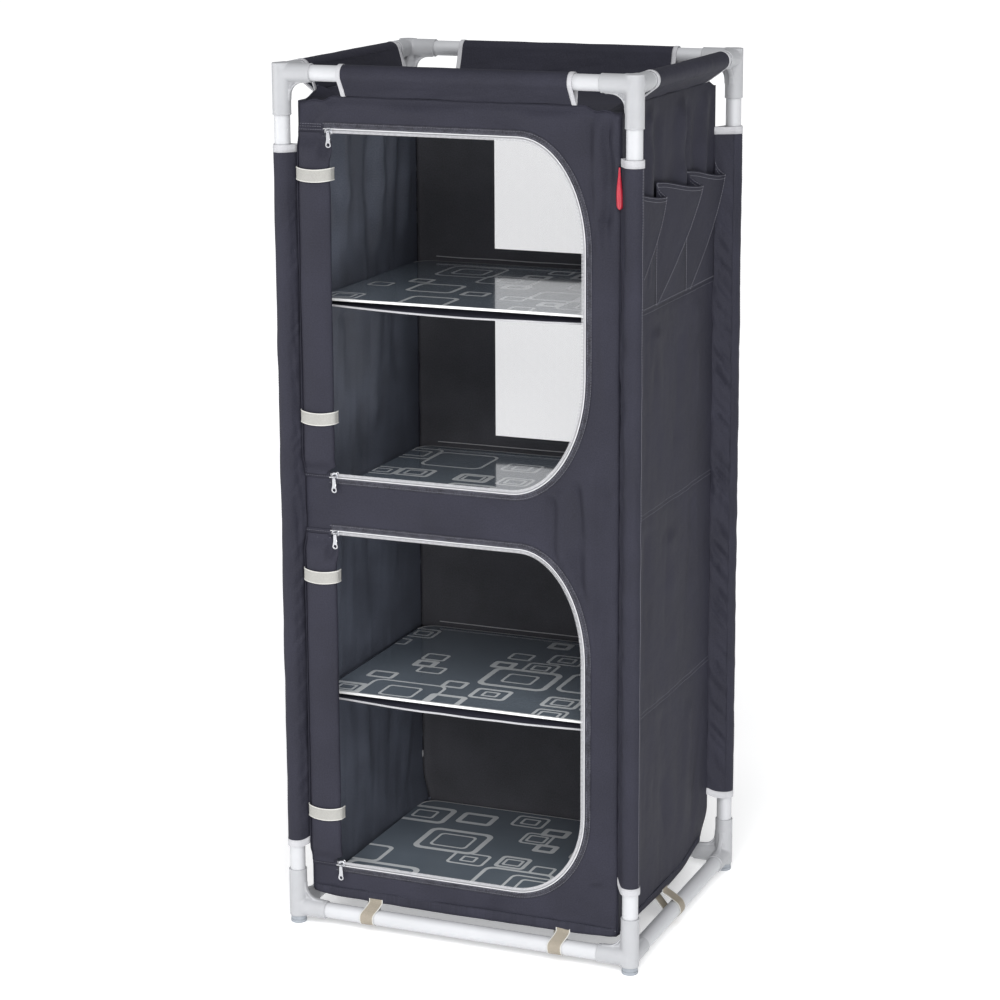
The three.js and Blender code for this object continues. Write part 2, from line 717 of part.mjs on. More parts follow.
// The slider's origin is the chain's middle, and mouth is the way to the panel, up or down
function zipSlider(mouth) {
  const below = chainWidth / 2 + sliderRun + sliderWeb;
  const above = chainWidth / 2 + fitGap + sliderWing;
  const middle = mouth * (above - below) / 2;
  const body = box(sliderLength, sliderDepth, above + below, 0, 0, middle);
  const lugDepth = pinStandOff + pinRadius + fitGap;
  const lugs = [-1, 1].map((sign) => box(
    lugWidth, lugDepth + sliderPlate / 2, lugHeight,
    sign * lugSpacing / 2, -sliderDepth / 2 - lugDepth / 2 + sliderPlate / 4, 0));
  const pin = new THREE.CylinderGeometry(pinRadius, pinRadius, lugSpacing, pinSides).rotateZ(Math.PI / 2);
  pin.translate(0, pinY, 0);
  const channelHeight = chainWidth + 2 * sliderRun + 2 * sliderWing + overrun;
  const channelMiddle = mouth * (channelHeight / 2 - chainWidth / 2 - sliderRun);
  const channel = box(sliderLength + overrun, channelDepth, channelHeight, 0, 0, channelMiddle);
  return geometryOf(cutFrom(joined([body, ...lugs, pin]), [channel]));
}

// The pull hangs from the pin at its own origin
function zipPull() {
  const eyeWidth = lugSpacing - lugWidth - 2 * fitGap;
  const eye = new THREE.CylinderGeometry(pullEyeRadius, pullEyeRadius, eyeWidth, pinSides);
  eye.rotateZ(Math.PI / 2);
  const neck = box(eyeWidth, pullThickness, pullNeckLength, 0, 0, -pullNeckLength / 2);
  const round = pullWidth / 2;
  const tab = new THREE.Shape();
  tab.moveTo(-eyeWidth / 2, -pullNeckLength + fitGap);
  tab.lineTo(-round, -pullNeckLength - round / 2);
  tab.absarc(0, -pullLength + round, round, Math.PI, 2 * Math.PI);
  tab.lineTo(round, -pullNeckLength - round / 2);
  tab.lineTo(eyeWidth / 2, -pullNeckLength + fitGap);
  tab.holes.push(new THREE.Path().absarc(0, -pullLength + round, pullHoleRadius, 0, 2 * Math.PI));
  const plate = extruded(tab, pullThickness, pullSteps);
  plate.translate(0, 0, -pullThickness / 2).rotateX(Math.PI / 2);
  const bore = new THREE.CylinderGeometry(
    pinRadius + fitGap, pinRadius + fitGap, eyeWidth + overrun, pinSides).rotateZ(Math.PI / 2);
  return geometryOf(cutFrom(joined([eye, neck, plate]), [bore]));
}

for (const span of openingSpans) {
  addPiece(`zip_chain_${span.name}`, zipChain(span), materials.zip);
  const inset = fitGap + chainWidth / 2;
  for (const [end, z, mouth] of [['top', span.high - inset, 1], ['bottom', span.low + inset, -1]]) {
    const y = boxFront + clothThickness / 2;
    const slider = addPiece(`zip_slider_${span.name}_${end}`, zipSlider(mouth), materials.slider);
    slider.position.set(sliderX, y, z);
    const pull = addPiece(`zip_pull_${span.name}_${end}`, zipPull(), materials.slider);
    pull.position.set(sliderX, y + pinY, z);
  }
}

// Rolled doors: flattened rolls with a ridge where each wrap ends, drawn in near the zip sliders
function rollSection(widthShare, turn, z) {
  const halfWidth = rollWidth * widthShare / 2;
  const halfDepth = rollHalfDepth * lerp(1, widthShare, 1 / 2);
  const middleX = rollLeft + halfWidth;
  const middleY = boxFront - fitGap - halfDepth;
  return Array.from({ length: rollSides }, (_, i) => {
    const angle = 2 * Math.PI * i / rollSides;
    const wrap = (rollWraps * i / rollSides + turn) % 1;
    const shrink = rollRidge * wrap * (1 - Math.sin(angle)) / 2;
    const x = middleX + (halfWidth - shrink) * Math.cos(angle);
    return new THREE.Vector3(x, middleY + (halfDepth - shrink) * Math.sin(angle), z);
  });
}

function doorRoll(span) {
  const low = span.low + rollEndGap;
  const high = span.high - rollEndGap;
  const rings = [];
  for (let s = 0; s <= rollStations; s++) {
    const share = (1 - Math.cos(Math.PI * s / rollStations)) / 2;
    const z = lerp(low, high, share);
    const widthShare = lerp(rollEndShare, 1, smooth((high - z - rollTaperStart) / rollTaperLength));
    rings.push(rollSection(widthShare, share / 2, z));
  }
  return solidRun(rings);
}

for (const span of openingSpans) {
  addPiece(`door_roll_${span.name}`, doorRoll(span), materials.cloth);
}

// A tie is a band round the front of the roll, dipping in the middle, with both ends on the panel
function doorTie(z) {
  const grow = fitGap + tieThickness / 2;
  const halfWidth = rollWidth / 2 + grow;
  const halfDepth = rollHalfDepth + grow;
  const middle = new THREE.Vector2(rollLeft + rollWidth / 2, boxFront - fitGap - rollHalfDepth);
  const ground = boxFront - fitGap;
  const path = [new THREE.Vector2(middle.x - halfWidth, ground)];
  for (let i = 0; i <= tieSteps; i++) {
    const angle = Math.PI * (1 + i / tieSteps);
    path.push(new THREE.Vector2(halfWidth * Math.cos(angle), halfDepth * Math.sin(angle)).add(middle));
  }
  path.push(new THREE.Vector2(middle.x + halfWidth, ground));
  const band = extruded(new THREE.Shape(bandOutline(path, tieThickness)), tieHeight, 1);
  const points = band.attributes.position;
  for (let i = 0; i < points.count; i++) {
    const share = (points.getX(i) - middle.x) / halfWidth;
    points.setZ(i, points.getZ(i) + z - tieHeight / 2 - tieDip * (1 - share * share));
  }
  return band;
}

for (const span of openingSpans) {
  const [drop, rise] = span.ties;
  addPiece(`door_tie_${span.name}_top`, doorTie(span.high - drop), materials.webbing);
  addPiece(`door_tie_${span.name}_bottom`, doorTie(span.low + rise), materials.webbing);
}

// A solid through levels of four corners each
function slab(levels) {
  const points = levels.flat().map((p) => new THREE.Vector3(...p));
  const triangles = [];
  const quad = (a, b, c, d) => triangles.push([a, b, c], [a, c, d]);
  const last = points.length - 4;
  quad(3, 2, 1, 0);
  quad(last, last + 1, last + 2, last + 3);
  for (let level = 0; level < last; level += 4) {
    for (let i = 0; i < 4; i++) {
      const next = (i + 1) % 4;
      quad(level + i, level + next, level + 4 + next, level + 4 + i);
    }
  }
  return closedGeometry(points, triangles);
}

// Bellows pockets in a row: each opens to its mouth and is folded flat at its start and bottom
function pocket(start, bulge) {
  const wall = boxX + fitGap;
  const end = start + pocketPitch;
  const frontZ = pocketMouth - pocketMouthDrop;
  const outer = [
    [
      [wall, start, pocketBottom], [wall + pocketSeam, start, pocketBottom],
      [wall + pocketSeam, end, pocketBottom], [wall, end, pocketBottom],
    ],
    [
      [wall, start, pocketMouth], [wall + pocketSeam, start, pocketMouth],
      [wall + bulge, end + pocketLean, frontZ], [wall, end, pocketMouth],
    ],
  ];
  const shifts = [pocketCloth, pocketCloth, -pocketCloth, -pocketCloth];
  const inward = (level, lift) => level.map(([x, y, z], i) => [x - pocketCloth, y + shifts[i], z + lift]);
  const inner = [inward(outer[0], pocketHem), inward(outer[1], 0), inward(outer[1], overrun)];
  return cutFrom(solidOf(slab(outer)), [slab(inner)]);
}

const pocketStart = boxFront + pocketInsetFront;
const pocketPitch = (boxBack - pocketInsetBack - pocketStart) / pocketBulges.length;
const pockets = pocketBulges.map((bulge, i) => pocket(pocketStart + i * pocketPitch, bulge));
addPiece('side_pockets', geometryOf(pockets.reduce((sum, one) => sum.add(one))), materials.cloth);

// A plain tab in the seam below the front right leg sleeve's end
const tabX = wallX - panelEdgeInset - tabWidth / 2;
const tabZ = legSleeveTop - tabTopDrop - tabLength / 2;
const tabY = boxFront - fitGap - tabThickness / 2;
addPiece('side_tab', box(tabWidth, tabThickness, tabLength, tabX, tabY, tabZ), materials.tab);

export default part;
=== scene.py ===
# A shelved cupboard of coated cloth in an aluminium tube frame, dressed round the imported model
import bpy
import math
import numpy as np
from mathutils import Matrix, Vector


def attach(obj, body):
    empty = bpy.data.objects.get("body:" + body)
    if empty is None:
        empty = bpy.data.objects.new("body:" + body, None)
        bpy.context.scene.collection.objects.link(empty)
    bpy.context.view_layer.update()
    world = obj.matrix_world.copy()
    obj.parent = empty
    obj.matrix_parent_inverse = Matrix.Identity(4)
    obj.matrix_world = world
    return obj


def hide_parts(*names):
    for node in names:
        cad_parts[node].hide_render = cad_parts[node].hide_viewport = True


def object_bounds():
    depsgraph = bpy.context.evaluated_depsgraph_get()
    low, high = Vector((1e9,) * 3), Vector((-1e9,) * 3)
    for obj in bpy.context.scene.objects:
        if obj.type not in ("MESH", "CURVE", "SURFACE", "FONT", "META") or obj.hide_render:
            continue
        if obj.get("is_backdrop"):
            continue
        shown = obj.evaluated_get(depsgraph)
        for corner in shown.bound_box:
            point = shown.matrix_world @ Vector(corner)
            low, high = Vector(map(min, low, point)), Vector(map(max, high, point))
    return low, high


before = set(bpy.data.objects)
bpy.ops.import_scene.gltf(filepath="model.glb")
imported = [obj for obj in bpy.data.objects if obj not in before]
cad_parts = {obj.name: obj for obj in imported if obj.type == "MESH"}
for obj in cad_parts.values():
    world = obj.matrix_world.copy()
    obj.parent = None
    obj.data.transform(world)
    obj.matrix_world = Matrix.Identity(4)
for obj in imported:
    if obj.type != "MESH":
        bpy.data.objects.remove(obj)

import openvdb
from mathutils import Matrix, Vector
from mathutils.geometry import delaunay_2d_cdt

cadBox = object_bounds()
mm = 0.001
rootBody = "cupboard"

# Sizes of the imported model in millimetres, with the front at -Y
cupboard = {
    "legX": 287.5, "legY": 237.5, "topRail": 1385.5, "bottomRail": 26.5,
    "boxX": 265.0, "boxFront": -230.5, "boxBack": 216.5, "boxBottom": 58.0, "boxTop": 1342.0,
}
legX, legY = cupboard["legX"], cupboard["legY"]
boxX, boxFront, boxBack = cupboard["boxX"], cupboard["boxFront"], cupboard["boxBack"]
boxBottom, boxTop = cupboard["boxBottom"], cupboard["boxTop"]
boxMiddle = (boxFront + boxBack) / 2  # halfway between the front and the back
corners = [("front_left", -1, -1), ("front_right", 1, -1), ("back_left", -1, 1), ("back_right", 1, 1)]


def linear(hexText):
    shares = [int(hexText[i:i + 2], 16) / 255 for i in (1, 3, 5)]
    return [s / 12.92 if s <= 0.04045 else ((s + 0.055) / 1.055) ** 2.4 for s in shares] + [1.0]


def smoothStep(low, high, value):
    t = np.clip((value - low) / (high - low), 0, 1)
    return t * t * (3 - 2 * t)


def softNoise(u, v, seed):  # hills between -1 and 1, one to each unit of u and v
    table = np.random.default_rng(seed).uniform(-1, 1, (61, 67))
    u, v = np.broadcast_arrays(np.asarray(u, float), np.asarray(v, float))
    cellU, cellV = np.floor(u).astype(int), np.floor(v).astype(int)
    shareU, shareV = u - cellU, v - cellV
    shareU = shareU * shareU * (3 - 2 * shareU)
    shareV = shareV * shareV * (3 - 2 * shareV)
    corner = lambda a, b: table[(cellU + a) % 61, (cellV + b) % 67]
    low = corner(0, 0) * (1 - shareU) + corner(1, 0) * shareU
    high = corner(0, 1) * (1 - shareU) + corner(1, 1) * shareU
    return low * (1 - shareV) + high * shareV


# Camera at the photograph's viewing angle
view = {"lens": 101.22, "sensor": 36.0, "shiftY": -0.07,
        "place": (1664.6, -4109.7, 1785.5), "yaw": 22.352, "pitch": 12.566, "roll": -0.262}
yaw, pitch, roll = (math.radians(view[key]) for key in ("yaw", "pitch", "roll"))
lookAlong = Vector((-math.sin(yaw) * math.cos(pitch), math.cos(yaw) * math.cos(pitch), -math.sin(pitch)))
level = Vector((math.cos(yaw), math.sin(yaw), 0))
upright = level.cross(lookAlong)
sideways = level * math.cos(roll) + upright * math.sin(roll)
upwards = upright * math.cos(roll) - level * math.sin(roll)
cameraData = bpy.data.cameras.new("camera")
cameraData.lens = view["lens"]
cameraData.sensor_width = view["sensor"]
cameraData.shift_y = view["shiftY"]
cameraData.clip_end = 200
camera = bpy.data.objects.new("camera", cameraData)
camera.matrix_world = Matrix.Translation(Vector(view["place"]) * mm) @ Matrix(
    (sideways, upwards, -lookAlong)).transposed().to_4x4()
bpy.context.scene.collection.objects.link(camera)
bpy.context.scene.camera = camera
print("camera placed")


def addNode(tree, kind, inputs=None, **settings):
    node = tree.nodes.new(kind)
    for name, value in settings.items():
        setattr(node, name, value)
    for name, value in (inputs or {}).items():
        if isinstance(value, bpy.types.NodeSocket):
            tree.links.new(value, node.inputs[name])
        else:
            node.inputs[name].default_value = value
    return node


def newMaterial(name, sockets):
    material = bpy.data.materials.new(name)
    material.use_nodes = True
    shader = material.node_tree.nodes["Principled BSDF"]
    for socket, value in sockets.items():
        shader.inputs[socket].default_value = value
    return material, material.node_tree, shader


# Soft light of a white studio, with panels at the left, in front and at the right
lights = {
    "key": {"place": (-2.4, -1.8, 1.0), "aim": (0, 0, 0.6), "size": 1.2, "power": 32},
    "front": {"place": (0.8, -3.0, 0.5), "aim": (0, 0, 0.35), "size": 1.2, "power": 6},
    "fill": {"place": (2.3, -2.3, 0.4), "aim": (0, 0, 0.35), "size": 1.2, "power": 34},
}
for lightName, look in lights.items():
    lightData = bpy.data.lights.new(lightName, "AREA")
    lightData.shape = "DISK"
    lightData.size = look["size"]
    lightData.energy = look["power"]
    lamp = bpy.data.objects.new(lightName, lightData)
    lamp.location = look["place"]
    lamp.rotation_euler = (Vector(look["aim"]) - Vector(look["place"])).to_track_quat("-Z", "Y").to_euler()
    bpy.context.scene.collection.objects.link(lamp)
ceiling = {"power": 2.5, "angle": 0.8, "way": (-0.27, 0.70, -0.66)}  # light from above, which whitens the floor
skyData = bpy.data.lights.new("sky", "SUN")
skyData.energy = ceiling["power"]
skyData.angle = ceiling["angle"]
sky = bpy.data.objects.new("sky", skyData)
sky.rotation_euler = Vector(ceiling["way"]).to_track_quat("-Z", "Y").to_euler()
bpy.context.scene.collection.objects.link(sky)
studio = {"colour": "#fafbfd", "strength": 0.34}  # what the room's white walls send back
world = bpy.data.worlds.new("studio")
world.use_nodes = True
backdrop = world.node_tree.nodes["Background"].inputs
backdrop["Color"].default_value = linear(studio["colour"])
backdrop["Strength"].default_value = studio["strength"]
bpy.context.scene.world = world
bpy.context.scene.view_settings.view_transform = "Standard"


def meshFrom(name, points, faces, materials, place=None, faceMaterials=None, sharp=35):
    data = bpy.data.meshes.new(name)
    data.from_pydata((np.asarray(points, float) * mm).tolist(), [], faces)
    for material in materials:
        data.materials.append(material)
    if faceMaterials is not None:
        data.polygons.foreach_set("material_index", np.asarray(faceMaterials, dtype=np.int32))
    if place is not None:  # where each point lies on the flat cloth, for the weave
        cloth = data.attributes.new("clothPlace", "FLOAT_VECTOR", "POINT")
        flat = np.zeros((len(data.vertices), 3))
        flat[:, :2] = place
        cloth.data.foreach_set("vector", flat.ravel())
    data.validate()
    data.shade_smooth()
    data.set_sharp_from_angle(angle=math.radians(sharp))
    return data


def addPiece(name, data, body=rootBody, nodes=()):
    piece = bpy.data.objects.new(name, data)
    bpy.context.scene.collection.objects.link(piece)
    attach(piece, body)
    if nodes:
        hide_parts(*nodes)
    return piece


def gridFaces(columns, rows, loop=False):  # quads of a grid of points, row after row
    count = columns if loop else columns + 1
    faces = []
    for row in range(rows):
        for column in range(columns):
            after = (column + 1) % count
            faces.append((row * count + column, row * count + after,
                          (row + 1) * count + after, (row + 1) * count + column))
    return faces


def turned(points, faces):  # faces put so that they point out of a closed shape
    points = np.asarray(points, float)
    corners = np.array([(face[0], face[i], face[i + 1]) for face in faces for i in range(1, len(face) - 1)])
    a, b, c = points[corners].transpose(1, 0, 2)
    volume = (a * np.cross(b, c)).sum()
    return [tuple(reversed(face)) for face in faces] if volume < 0 else faces


def lathe(profile, start, along, sides):
    # a closed or open profile of (radius, distance) turned about the line from start along a direction
    along = Vector(along).normalized()
    across = along.orthogonal().normalized()
    square = along.cross(across)
    angles = np.arange(sides) * 2 * math.pi / sides
    points = []
    for radius, distance in profile:
        centre = Vector(start) + along * distance
        for angle in angles:
            points.append(centre + (across * math.cos(angle) + square * math.sin(angle)) * radius)
    return points, gridFaces(sides, len(profile) - 1, loop=True)


# Floor of plain studio paper
paper, tree, shader = newMaterial("matt studio paper", {
    "Base Color": linear("#f6f6f6"), "Roughness": 0.9,
    "Emission Color": linear("#ffffff"), "Emission Strength": 0.34})
place = addNode(tree, "ShaderNodeTexCoord").outputs["Object"]
fibres = addNode(tree, "ShaderNodeTexNoise", {"Vector": place, "Scale": 900.0})  # fibres of about 1 mm
rough = addNode(tree, "ShaderNodeMapRange", {"Value": fibres.outputs["Fac"], "To Min": 0.84, "To Max": 0.95})
tree.links.new(rough.outputs["Result"], shader.inputs["Roughness"])
floorSize = {"radius": 70000.0, "sides": 96}
rim = [(floorSize["radius"] * math.cos(2 * math.pi * i / floorSize["sides"]),
        floorSize["radius"] * math.sin(2 * math.pi * i / floorSize["sides"]), 0)
       for i in range(floorSize["sides"])]
floorPiece = bpy.data.objects.new("floor", meshFrom("floor", rim, [tuple(range(len(rim)))], [paper]))
bpy.context.scene.collection.objects.link(floorPiece)
floorPiece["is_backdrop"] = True
print("lights and floor placed")

# Anodised aluminium, drawn tube: a satin grey with soft clouds and a fine grain
aluminium, tree, shader = newMaterial("anodised aluminium", {
    "Base Color": linear("#c3c4c7"), "Metallic": 0.15, "Roughness": 0.56})
place = addNode(tree, "ShaderNodeTexCoord").outputs["Object"]
clouds = addNode(tree, "ShaderNodeTexNoise", {"Vector": place, "Scale": 14.0, "Detail": 3.0})
tone = addNode(tree, "ShaderNodeMix", {
    "Factor": clouds.outputs["Fac"], "A": linear("#b6b7ba"), "B": linear("#c2c3c6")}, data_type="RGBA")
tree.links.new(tone.outputs[2], shader.inputs["Base Color"])
grain = addNode(tree, "ShaderNodeTexNoise", {"Vector": place, "Scale": 2600.0})  # pores of 0.4 mm
rough = addNode(tree, "ShaderNodeMapRange", {"Value": clouds.outputs["Fac"], "To Min": 0.52, "To Max": 0.6})
bump = addNode(tree, "ShaderNodeBump", {"Height": grain.outputs["Fac"], "Strength": 0.12, "Distance": 0.0002})
tree.links.new(rough.outputs["Result"], shader.inputs["Roughness"])
tree.links.new(bump.outputs["Normal"], shader.inputs["Normal"])

# Glass filled nylon, injection moulded: light grey with a fine spark eroded grain
nylon, tree, shader = newMaterial("moulded nylon", {
    "Base Color": linear("#a2a4a9"), "Roughness": 0.5, "IOR": 1.53})
place = addNode(tree, "ShaderNodeTexCoord").outputs["Object"]
clouds = addNode(tree, "ShaderNodeTexNoise", {"Vector": place, "Scale": 35.0, "Detail": 4.0})
tone = addNode(tree, "ShaderNodeMix", {
    "Factor": clouds.outputs["Fac"], "A": linear("#9d9ea1"), "B": linear("#a9aaad")}, data_type="RGBA")
grain = addNode(tree, "ShaderNodeTexNoise", {"Vector": place, "Scale": 1600.0})  # grain of 0.6 mm
bump = addNode(tree, "ShaderNodeBump", {"Height": grain.outputs["Fac"], "Strength": 0.25, "Distance": 0.0003})
tree.links.new(tone.outputs[2], shader.inputs["Base Color"])
tree.links.new(bump.outputs["Normal"], shader.inputs["Normal"])

# Polypropylene, moulded: the feet are a little darker and waxier than the connectors
polypropylene, tree, shader = newMaterial("moulded polypropylene", {
    "Base Color": linear("#a5aab1"), "Roughness": 0.55, "IOR": 1.49})
place = addNode(tree, "ShaderNodeTexCoord").outputs["Object"]
scuffs = addNode(tree, "ShaderNodeTexNoise", {"Vector": place, "Scale": 120.0, "Detail": 5.0})
tone = addNode(tree, "ShaderNodeMix", {
    "Factor": scuffs.outputs["Fac"], "A": linear("#7f848b"), "B": linear("#969ba1")}, data_type="RGBA")
bump = addNode(tree, "ShaderNodeBump", {"Height": scuffs.outputs["Fac"], "Strength": 0.2, "Distance": 0.0004})
tree.links.new(tone.outputs[2], shader.inputs["Base Color"])
tree.links.new(bump.outputs["Normal"], shader.inputs["Normal"])

# Tubes of the frame, 1.2 mm thick, with their cut edges broken
tube = {"radius": 12.5, "wall": 1.2, "edge": 0.25, "start": 16.5, "sides": 48}


def tubePiece(name, start, along, length):
    r, wall, edge = tube["radius"], tube["wall"], tube["edge"]
    profile = [(r - edge, 0), (r, edge), (r, length - edge), (r - edge, length),
               (r - wall + edge, length), (r - wall, length - edge), (r - wall, edge),
               (r - wall + edge, 0), (r - edge, 0)]
    points, faces = lathe(profile, start, along, tube["sides"])
    data = meshFrom(name + "_tube", points, turned(points, faces), [aluminium])
    addPiece(name + "_tube", data, nodes=[name])


for name, signX, signY in corners:
    low = cupboard["bottomRail"] + tube["start"]
    tubePiece("leg_" + name, (signX * legX, signY * legY, low), (0, 0, 1), cupboard["topRail"] - tube["start"] - low)
for levelName, z in (("top", cupboard["topRail"]), ("bottom", cupboard["bottomRail"])):
    halfX, halfY = legX - tube["start"], legY - tube["start"]
    for sign, front, side in ((-1, "front", "left"), (1, "back", "right")):
        tubePiece(f"{levelName}_rail_{front}", (-halfX, sign * legY, z), (1, 0, 0), 2 * halfX)
        tubePiece(f"{levelName}_rail_{side}", (sign * legX, -halfY, z), (0, 1, 0), 2 * halfY)
print("tubes made")

# Corner connectors: round sockets blended into each other, with a rimmed web in each corner
connector = {"radius": 14.5, "bore": 12.8, "legLength": 80.0, "railReach": 52.0, "reach": 30.0, "drop": 27.0,
             "web": 2.6, "rimWidth": 7.0, "rimDepth": 2.4, "blend": 3.2, "edge": 1.1,
             "lip": 2.2, "lipRise": 0.2, "groove": 0.9, "stem": 5.3, "voxel": 0.8, "keep": 0.22}


def roundRod(radial, along, low, high, radius, edge):
    a = radial - (radius - edge)
    b = np.abs(along - (low + high) / 2) - ((high - low) / 2 - edge)
    return np.hypot(np.maximum(a, 0), np.maximum(b, 0)) + np.minimum(np.maximum(a, b), 0) - edge


def blended(a, b, size):  # the union of two distance fields with a fillet
    h = np.maximum(size - np.abs(a - b), 0) / size
    return np.minimum(a, b) - h * h * size / 4


def connectorShape(withStem):
    c = connector
    radius, reach = c["radius"], c["railReach"]
    legEnd = c["legLength"] - radius
    low, high = -radius - 3, (reach + 3, reach + 3, legEnd + 3)
    axes = [np.arange(low, top, c["voxel"]) for top in high]
    x, y, z = np.meshgrid(*axes, indexing="ij")  # the leg leads along +Z here, the rails along +X and +Y
    overLeg, overX, overY = np.hypot(x, y), np.hypot(y, z), np.hypot(x, z)
    body = roundRod(overLeg, z, -radius, legEnd, radius, c["edge"])
    body = blended(body, roundRod(overX, x, 0, reach, radius, c["edge"]), c["blend"])
    body = blended(body, roundRod(overY, y, 0, reach, radius, c["edge"]), c["blend"])
    for out, across in ((x, y), (y, x)):  # webs
        a = np.maximum((out - radius) / c["reach"], 0)
        b = np.maximum((z - radius) / c["drop"], 0)
        steps = np.linspace(0, 1, 15)
        curveOut = radius + c["reach"] * (1 - steps) ** 2
        curveZ = radius + c["drop"] * steps ** 2
        away = np.full(x.shape, 1e3)
        for i in range(14):
            dx, dz = curveOut[i + 1] - curveOut[i], curveZ[i + 1] - curveZ[i]
            t = np.clip(((out - curveOut[i]) * dx + (z - curveZ[i]) * dz) / (dx * dx + dz * dz), 0, 1)
            away = np.minimum(away, np.hypot(out - curveOut[i] - t * dx, z - curveZ[i] - t * dz))
        inside = (np.sqrt(a) + np.sqrt(b) < 1) & (out > 0) & (z > 0)
        sheet = np.maximum(np.where(inside, -away, away), np.abs(across) - c["web"] / 2)
        rimmed = np.maximum(np.abs(np.where(inside, -away, away) + c["rimDepth"] / 2) - c["rimDepth"] / 2,
                            np.abs(across) - c["rimWidth"] / 2)
        body = blended(body, blended(sheet, rimmed, 1.2), c["blend"])
    for radial, along, end in ((overLeg, z, legEnd), (overX, x, reach), (overY, y, reach)):
        lip = roundRod(radial, along, end - c["lip"], end, radius + c["lipRise"], 0.7)
        body = blended(body, lip, 0.6)
        ring = end - c["lip"] - c["groove"] / 2
        groove = np.hypot(radial - radius - 0.2, along - ring) - c["groove"] / 2
        body = np.maximum(body, -groove)
        body = np.maximum(body, -roundRod(radial, along, radius + 2.0, end + 9, c["bore"], 0.4))
    if withStem:
        body = np.maximum(body, -roundRod(overLeg, z, -radius - 9, 30, c["stem"], 0.2))
    band = 3 * c["voxel"]
    grid = openvdb.FloatGrid(band)
    grid.copyFromArray(np.clip(body, -band, band).astype(np.float32))
    points, quads = grid.convertToQuads(0.0)
    points = points * c["voxel"] + low
    data = bpy.data.meshes.new("connector")
    data.from_pydata(points.tolist(), [], quads.tolist())
    rough = bpy.data.objects.new("connector", data)
    bpy.context.scene.collection.objects.link(rough)
    rough.modifiers.new("fewer", "DECIMATE").ratio = c["keep"]
    bpy.context.view_layer.update()
    made = rough.evaluated_get(bpy.context.evaluated_depsgraph_get()).to_mesh()
    points = np.array([v.co[:] for v in made.vertices])
    faces = [tuple(p.vertices) for p in made.polygons]
    bpy.data.objects.remove(rough)
    bpy.data.meshes.remove(data)
    return points, faces


for levelName, signZ, z in (("top", -1, cupboard["topRail"]), ("bottom", 1, cupboard["bottomRail"])):
    shape, shapeFaces = connectorShape(signZ > 0)
    for name, signX, signY in corners:
        points = shape * (-signX, -signY, signZ) + (signX * legX, signY * legY, z)
        data = meshFrom(f"{levelName}_corner_{name}", points, turned(points, shapeFaces), [nylon], sharp=60)
        addPiece(f"{levelName}_corner_{name}", data, nodes=[f"{levelName}_connector_{name}"])
print("connectors made")

# Levelling feet: a ring, a groove and a stem with a thread
foot = {"height": 11.7, "radius": 13.0, "edge": 1.4, "ringTop": 5.0, "groove": 12.0, "grooveTop": 6.2, "upper": 12.6,
        "stem": 5.0, "stemLength": 23.4, "threadPitch": 1.5, "threadDepth": 0.45, "sides": 48}


def footPiece(name, x, y):
    f = foot
    profile = [(0.01, 0.6), (f["radius"] - 5, 0.6), (f["radius"] - 4, 0)]
    for i in range(5):
        angle = math.pi / 2 * i / 4
        profile.append((f["radius"] - f["edge"] * (1 - math.sin(angle)), f["edge"] * (1 - math.cos(angle))))
    profile += [(f["radius"], f["ringTop"] - 0.4), (f["radius"] - 0.4, f["ringTop"]),
                (f["groove"], f["ringTop"] + 0.1), (f["groove"], f["grooveTop"]),
                (f["upper"], f["grooveTop"] + 0.1), (f["upper"], f["height"] - 0.4),
                (f["upper"] - 0.4, f["height"]), (f["stem"] - f["threadDepth"], f["height"])]
    z = f["height"] + 0.8
    while z < f["height"] + f["stemLength"] - 1.5:
        profile += [(f["stem"] - f["threadDepth"], z), (f["stem"], z + f["threadPitch"] / 2)]
        z += f["threadPitch"]
    top = f["height"] + f["stemLength"]
    profile += [(f["stem"] - 0.8, top), (0.01, top)]
    points, faces = lathe(profile, (x, y, 0), (0, 0, 1), f["sides"])
    data = meshFrom(f"foot_ring_{name}", points, turned(points, faces), [polypropylene], sharp=30)
    addPiece(f"foot_ring_{name}", data, body=f"foot_{name}", nodes=[f"foot_{name}"])


for name, signX, signY in corners:
    footPiece(name, signX * legX, signY * legY)
print("feet made")

